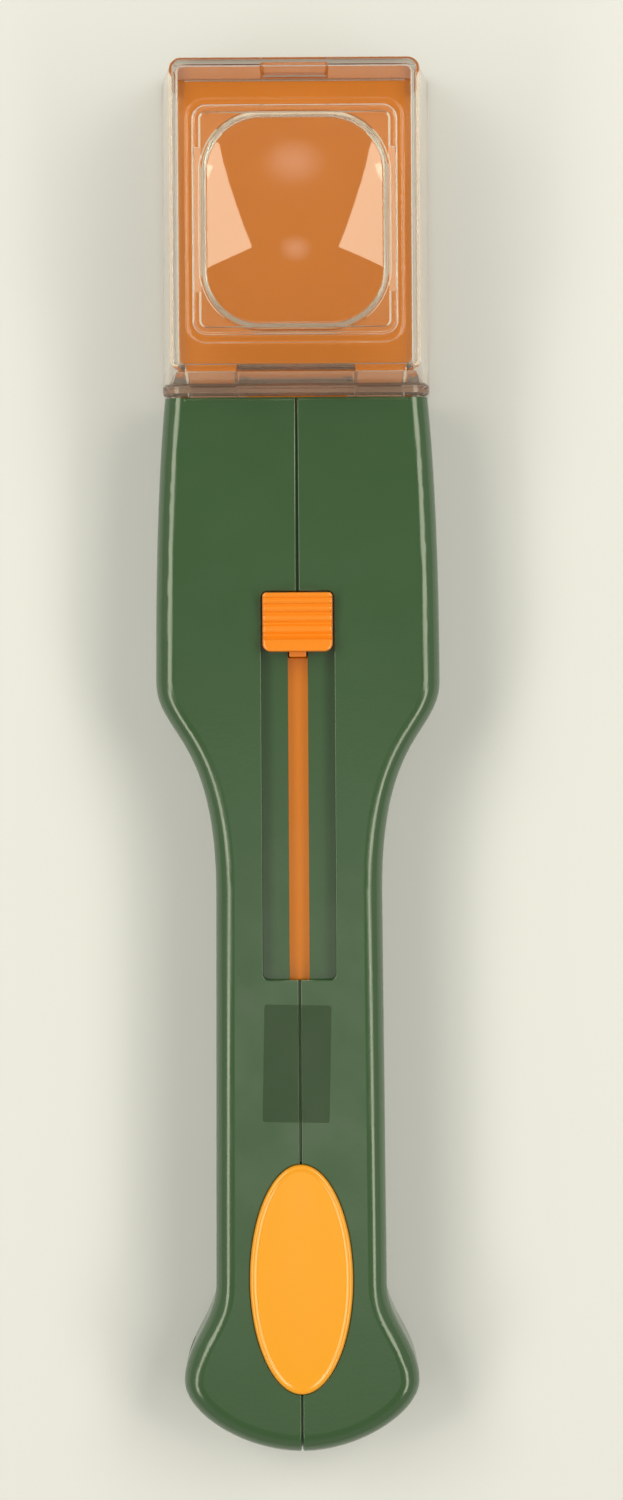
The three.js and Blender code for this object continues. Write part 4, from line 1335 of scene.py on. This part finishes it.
def lens_grinder():
    """The tree that turns a flat blank into a lens."""
    length = "NodeSocketFloat"
    tree, source, output = new_tree("lens_grinder", {
        "Centre": "NodeSocketVector", "Aperture": length, "Front Radius": length, "Back Radius": length,
        "Material": "NodeSocketMaterial"})
    inputs = source.outputs
    place = add_node(tree, "GeometryNodeInputPosition").outputs[0]
    offset = add_node(
        tree, "ShaderNodeVectorMath", None, {0: place, 1: inputs["Centre"]}, operation="SUBTRACT").outputs[0]
    flat = add_node(
        tree, "ShaderNodeVectorMath", {1: (1, 1, 0)}, {0: offset}, operation="MULTIPLY").outputs[0]
    square = add_node(
        tree, "ShaderNodeVectorMath", None, {0: flat, 1: flat}, operation="DOT_PRODUCT").outputs["Value"]
    face = add_node(
        tree, "GeometryNodeInputNamedAttribute", {"Name": "face"}, data_type="FLOAT").outputs["Attribute"]
    is_front = add_node(tree, "FunctionNodeCompare", {1: 0.0}, {0: face}, operation="GREATER_THAN").outputs[0]
    sag = add_node(
        tree, "GeometryNodeSwitch", None,
        {"Switch": is_front, "False": sag_nodes(tree, inputs, "Back Radius", square),
         "True": sag_nodes(tree, inputs, "Front Radius", square)}, input_type="FLOAT").outputs[0]
    rise = add_node(tree, "ShaderNodeMath", None, {0: sag, 1: face}, operation="MULTIPLY").outputs[0]
    move = add_node(tree, "ShaderNodeCombineXYZ", None, {"Z": rise}).outputs[0]
    ground = add_node(
        tree, "GeometryNodeSetPosition", None, {"Geometry": inputs["Geometry"], "Offset": move})
    end_tree(tree, source, ground.outputs["Geometry"], output)
    return tree


grinder = lens_grinder()
print("nodes of the grinder:", len(grinder.nodes))

# %% Grind the lens with nodes
LENS_DIAMETER = 47.2  # of the circle where both faces reach the level of the rim
FRONT_RADIUS = 60
BACK_RADIUS = 1000  # all but flat
apply_tree(lens, grinder, {
    "Centre": (0, y_lens * MM, 0), "Aperture": LENS_DIAMETER / 2 * MM, "Front Radius": FRONT_RADIUS * MM,
    "Back Radius": BACK_RADIUS * MM, "Material": lens_acrylic})
finish_piece(lens, "handle", lens_acrylic, "clear_plastic", "magnifier_lens")

# %% Lens frame
FRAME_THICKNESS = 1.2
FRAME_RIB = 1
FRAME_RIB_INSET = 0.35
FRAME_RIB_BREAK = 29
FRAME_SLOPE_WIDTH = 1.6
FRAME_SLOPE = math.radians(12)  # where the rib is broken, the frame falls away to the side
FRAME_EDGE = 0.2
FRAME_BEVEL = 1
BEVEL_STEPS = 6


def lens_frame():
    """Rings up the outside, over the rib and down the bevelled opening. The long sides lose their rib."""
    z_flat, z_rib = z_frame_low + FRAME_THICKNESS, frame_high[2]
    start, end = FRAME_RIB_INSET, FRAME_RIB_INSET + FRAME_RIB
    edge = [(FRAME_EDGE * drawn, z_rib - FRAME_EDGE * risen) for drawn, risen in arc_steps(FINE_STEPS)]
    steps = [
        (FRAME_EDGE, z_frame_low), (0, z_frame_low + FRAME_EDGE), (0, z_flat - FRAME_EDGE),
        (FRAME_EDGE, z_flat), (start, z_flat), *[(start + drawn, z) for drawn, z in edge[::-1]],
        *[(end - drawn, z) for drawn, z in edge], (end, z_flat + FRAME_EDGE), (end + FRAME_EDGE, z_flat)]
    rings = [outline_ring("frame", -inset, z) for inset, z in steps]
    for drawn, risen in arc_steps(BEVEL_STEPS):
        rings.append(outline_ring("lens", FRAME_BEVEL * drawn - LENS_LIP, z_flat - FRAME_BEVEL * risen))
    rings.append(outline_ring("lens", -LENS_LIP, z_frame_low))
    frame_piece = loft("frame_lens", rings, joined=True)
    ys = span(FRAME_RIB_BREAK, y_lens)
    x_in, x_out, z_over = frame_high[0] - FRAME_SLOPE_WIDTH, frame_high[0] + OVER, z_rib + OVER
    z_out = z_flat - (x_out - x_in) * math.tan(FRAME_SLOPE)
    gaps = []
    for side in (-1, 1):
        section = [(x_in, z_flat), (x_out, z_out), (x_out, z_over), (x_in, z_over)]
        gaps.append(loft("gap", [[(side * x, y, z) for x, z in section] for y in ys]))
    return combine(frame_piece, "DIFFERENCE", gaps)


finish_piece(lens_frame(), "handle", frame_acrylic, "clear_plastic", "lens_frame")

# %% [markdown]
# ## Screws
# Four equal self-tapping screws pull the shells together from the left flank. One screw is modelled, with its
# rounded head, cross recess and thread, and a Geometry Nodes tree sets a copy of it at each place.

# %% Thread of a screw
THREAD_PITCH = 1.1
THREAD_DEPTH = 0.28
RIDGE_HALF = 0.28  # half the width of the thread's ridge, in pitches
TIP_LENGTH = 2.5
TIP_SHARE = 0.25  # of the radius, left at the very tip
SCREW_STEPS = 24
x_head, x_tip = screw_low[0], screw_high[0]
print("screw length, mm:", round(x_tip - x_head, 1))


def screw_ring(x, radius):
    """A ring of the screw: radius is a number or a rule of the turn."""
    turns = np.linspace(0, 2 * math.pi, SCREW_STEPS, endpoint=False)
    sizes = [radius(t) if callable(radius) else radius for t in turns]
    return [(x, r * math.cos(t), r * math.sin(t)) for r, t in zip(sizes, turns)]


def thread_radius(x, turn):
    """The thread's radius at a place along the shank: a ridge that winds once a pitch."""
    phase = (x / THREAD_PITCH - turn / (2 * math.pi)) % 1
    ridge = max(0, 1 - abs(phase - 0.5) / RIDGE_HALF)
    taper = min(1, (x_tip - x) / TIP_LENGTH + TIP_SHARE)
    return taper * (SHANK / 2 - THREAD_DEPTH + THREAD_DEPTH * ridge)


# %% One screw
THREAD_START = 0.3
THREAD_STEPS = 8
HEAD_LENGTH = 2
HEAD_STEPS = 7
HEAD_EDGE = 0.1
HEAD_DOME = 0.32  # the height of the dome, in radii of the head
HEAD_FLAT = 0.45  # the radius of its flat top, in the same
DRIVE_WIDTH = 0.8
DRIVE_SPAN = 2.8
DRIVE_DEPTH = 1


def one_screw():
    """A pan-head screw along X, with its axis at the origin."""
    head, x_under = screw_head / 2, x_head + HEAD_LENGTH
    rings = []
    for t in np.linspace(math.pi / 2, 0, HEAD_STEPS):
        radius = head * (HEAD_FLAT + (1 - HEAD_FLAT) * math.cos(t))
        rings.append(screw_ring(x_head + head * HEAD_DOME * (1 - math.sin(t)), radius))
    rings += [screw_ring(x_under - HEAD_EDGE, head), screw_ring(x_under, head - HEAD_EDGE)]
    rings.append(screw_ring(x_under, SHANK / 2))
    count = int((x_tip - x_under) / THREAD_PITCH * THREAD_STEPS)
    places = np.linspace(x_under + THREAD_START, x_tip, count)
    rings += [screw_ring(x, lambda turn, x=x: thread_radius(x, turn)) for x in places]
    screw = loft("screw", rings)
    for wide, tall in ((DRIVE_WIDTH, DRIVE_SPAN), (DRIVE_SPAN, DRIVE_WIDTH)):
        recess = block([x_head - OVER, x_head + DRIVE_DEPTH], span(wide), span(tall))
        combine(screw, "DIFFERENCE", [recess])
    return screw


template = one_screw()
print("points of a screw:", len(template.data.vertices))

# %% Set the screws with nodes
def screw_setter():
    """The tree that sets copies of a screw along a line."""
    tree, source, output = new_tree("screw_setter", {
        "Screw": "NodeSocketObject", "Count": "NodeSocketInt", "First": "NodeSocketVector",
        "Step": "NodeSocketVector", "Material": "NodeSocketMaterial"})
    inputs = source.outputs
    line = add_node(
        tree, "GeometryNodeMeshLine", None,
        {"Count": inputs["Count"], "Start Location": inputs["First"], "Offset": inputs["Step"]},
        mode="OFFSET")
    screw = add_node(tree, "GeometryNodeObjectInfo", None, {"Object": inputs["Screw"]})
    copies = add_node(
        tree, "GeometryNodeInstanceOnPoints", None,
        {"Points": line.outputs["Mesh"], "Instance": screw.outputs["Geometry"]})
    end_tree(tree, source, copies.outputs["Instances"], output)
    return tree


screws = new_piece("screws_shell", [(0, 0, 0), (1, 0, 0), (0, 1, 0)], [(0, 1, 2)])
apply_tree(screws, screw_setter(), {
    "Screw": template, "Count": len(screw_y), "First": (0, screw_y[0] * MM, z_screw * MM),
    "Step": (0, (screw_y[1] - screw_y[0]) * MM, 0), "Material": screw_steel})
bpy.data.objects.remove(template)
finish_piece(screws, "handle", screw_steel, "screw_steel", "screw_1", "screw_2", "screw_3", "screw_4")

# %% [markdown]
# ## The blank label
# A small film label lies on the grip, across the seam, between the slot and the oval. It is see-through, so
# it only darkens what is under it. Here it is blank: a thin sheet with rounded corners.

# %% Label
LABEL_LOW = (-7.5, -75.2)
LABEL_HIGH = (6.2, -51.2)
LABEL_CORNER = 0.6
LABEL_THICKNESS = 0.08
LABEL_LIFT = 0.02
LABEL_TURN = math.radians(-1.2)


def film_label():
    """A thin sheet on the grip's front face."""
    middle = (np.array(LABEL_LOW) + LABEL_HIGH) / 2
    half = (np.array(LABEL_HIGH) - LABEL_LOW) / 2
    outline = np.vstack(corner_arcs(half[0], -half[1], half[1], LABEL_CORNER))
    c, s = math.cos(LABEL_TURN), math.sin(LABEL_TURN)
    placed = middle + outline @ np.array([[c, s], [-s, c]])
    low = z_front + LABEL_LIFT
    return loft("label_blank", [flat_ring(placed, z) for z in (low, low + LABEL_THICKNESS)])


finish_piece(film_label(), "handle", blank_film, "clear_plastic")

# %% [markdown]
# ## Floor and light
# The floor is pale paper, which far from the lamps turns into an evenly pale backdrop. Two broad soft boxes
# hang left and right of the viewer, turned so that the lens mirrors them as two pale wedges. They also draw
# the light lines along the handle's rounded edges, which two smaller boxes carry on round the foot. The
# surroundings are paler near the horizon, and overhead, where the grip mirrors them as a soft sheen.

# %% Paper of the floor
PAPER_SPACING = 180  # mm, soft clouds
PAPER_ROUGH = 0.9
PAPER_REACH = (0.35, 1.2)  # metres from the middle, where the lit paper starts to fade, and where it ends
BACKDROP = "#EEEDE2"


def pale_floor(name):
    """Matt pale paper, faintly uneven. Far away it is an even backdrop for all that looks at it."""
    material, tree, output, place = new_material(name)
    _, tint = clouded(tree, place, PAPER_SPACING, 2, "#E3E4EA", "#E8E9EF")
    paper = add_node(tree, "ShaderNodeBsdfPrincipled", {"Roughness": PAPER_ROUGH}, {"Base Color": tint})
    backdrop = add_node(tree, "ShaderNodeEmission", {"Color": linear(BACKDROP)})
    away = add_node(tree, "ShaderNodeVectorMath", None, {0: place}, operation="LENGTH")
    faded = add_node(
        tree, "ShaderNodeMapRange", {"From Min": PAPER_REACH[0], "From Max": PAPER_REACH[1]},
        {"Value": away.outputs["Value"]}, interpolation_type="SMOOTHSTEP")
    path = add_node(tree, "ShaderNodeLightPath")
    looking = path.outputs["Is Camera Ray"]
    for kind in ("Is Glossy Ray", "Is Transmission Ray"):
        looking = add_node(
            tree, "ShaderNodeMath", None, {0: looking, 1: path.outputs[kind]}, operation="MAXIMUM").outputs[0]
    share = add_node(
        tree, "ShaderNodeMath", None, {0: looking, 1: faded.outputs["Result"]}, operation="MULTIPLY")
    mix = add_node(
        tree, "ShaderNodeMixShader", None,
        {0: share.outputs[0], 1: paper.outputs["BSDF"], 2: backdrop.outputs["Emission"]})
    tree.links.new(mix.outputs["Shader"], output.inputs["Surface"])
    return material


floor_paper = pale_floor("paper_pale")
print("floor:", floor_paper.name)

# %% Floor
FLOOR_SIZE = 6  # metres, as are its drop below the viewer and its thickness
FLOOR_DROP = 0.0004
FLOOR_THICKNESS = 0.02
floor_sides = span(FLOOR_SIZE / MM)
floor = block(floor_sides, floor_sides, [-(FLOOR_DROP + FLOOR_THICKNESS) / MM, -FLOOR_DROP / MM])
floor.name = "floor"
floor.data.materials.clear()
floor.data.materials.append(floor_paper)
floor.data.polygons.foreach_set("material_index", [0] * len(floor.data.polygons))
print("floor, m:", [round(side, 2) for side in floor.dimensions])

# %% Lamps
LAMP_COLOUR = (1, 0.985, 0.78)


def soft_box(name, side, place, size, radiance, lean=0, turn=0):
    """An oblong area lamp that shines down, leant outwards and turned about the vertical."""
    lamp = bpy.data.lights.new(name, "AREA")
    lamp.shape = "RECTANGLE"
    lamp.size, lamp.size_y = size
    lamp.energy = radiance * math.pi * lamp.size * lamp.size_y
    lamp.color = LAMP_COLOUR
    box = bpy.data.objects.new(name, lamp)
    box.location = (side * place[0], place[1], place[2])
    box.rotation_euler = (0, side * lean, -side * turn)
    bpy.context.scene.collection.objects.link(box)


KEY_PLACE = (0.8, 0.43, 1.03)  # metres, as are all places and sizes of lamps
KEY_SIZE = (0.6, 1.1)
KEY_LIGHT = 4.3
KEY_TURN = math.radians(22)
FOOT_PLACE = (0.97, -0.5, 1)
FOOT_SIZE = (0.34, 0.8)
FOOT_LIGHT = 4.6
FOOT_LEAN = math.radians(42)
for side, label in ((-1, "left"), (1, "right")):
    soft_box(f"key_box_{label}", side, KEY_PLACE, KEY_SIZE, KEY_LIGHT, turn=KEY_TURN)
    soft_box(f"foot_box_{label}", side, FOOT_PLACE, FOOT_SIZE, FOOT_LIGHT, lean=FOOT_LEAN)
print("lamps:", [lamp.name for lamp in bpy.data.lights])

# %% Pale surroundings
SKY_COLOUR = "#FFFAF0"
SKY_LIGHT = 0.2
HORIZON_LIGHT = 0.45
HORIZON_BAND = (0.45, 0.8)  # heights on the unit sphere where the band starts to fade, and ends
OVERHEAD_LIGHT = 1.5
OVERHEAD_TILT = math.radians(4.6)
OVERHEAD_SPREAD = math.radians(7.5)
OVERHEAD_NARROWING = 0.8
world = bpy.data.worlds.new("studio")
bpy.context.scene.world = world
world.use_nodes = True
tree = world.node_tree
tree.nodes.clear()
direction = add_node(tree, "ShaderNodeTexCoord").outputs["Generated"]
offset = add_node(
    tree, "ShaderNodeVectorMath", {1: (0, math.sin(OVERHEAD_TILT), 0)}, {0: direction}, operation="ADD")
squeezed = add_node(
    tree, "ShaderNodeVectorMath", {1: (OVERHEAD_NARROWING, 1, 0)}, {0: offset.outputs[0]},
    operation="MULTIPLY")
away = add_node(tree, "ShaderNodeVectorMath", None, {0: squeezed.outputs[0]}, operation="LENGTH")
patch = add_node(
    tree, "ShaderNodeMapRange",
    {"From Max": math.sin(OVERHEAD_SPREAD), "To Min": OVERHEAD_LIGHT, "To Max": 0},
    {"Value": away.outputs["Value"]}, interpolation_type="SMOOTHSTEP")
height = add_node(tree, "ShaderNodeSeparateXYZ", None, {0: direction}).outputs["Z"]
band = add_node(
    tree, "ShaderNodeMapRange",
    {"From Min": HORIZON_BAND[0], "From Max": HORIZON_BAND[1], "To Min": HORIZON_LIGHT, "To Max": SKY_LIGHT},
    {"Value": height}, interpolation_type="SMOOTHSTEP")
level = add_node(
    tree, "ShaderNodeMath", None, {0: patch.outputs["Result"], 1: band.outputs["Result"]},
    operation="MAXIMUM")
sky = add_node(tree, "ShaderNodeBackground", {"Color": linear(SKY_COLOUR)}, {"Strength": level.outputs[0]})
backdrop = add_node(tree, "ShaderNodeBackground", {"Color": linear(BACKDROP)})
path = add_node(tree, "ShaderNodeLightPath")
studio = add_node(
    tree, "ShaderNodeMixShader", None,
    {0: path.outputs["Is Camera Ray"], 1: sky.outputs["Background"], 2: backdrop.outputs["Background"]})
add_node(tree, "ShaderNodeOutputWorld", None, {"Surface": studio.outputs["Shader"]})
bpy.context.scene.view_settings.view_transform = "Standard"
print("light from the sky, the horizon and overhead:", SKY_LIGHT, HORIZON_LIGHT, OVERHEAD_LIGHT)
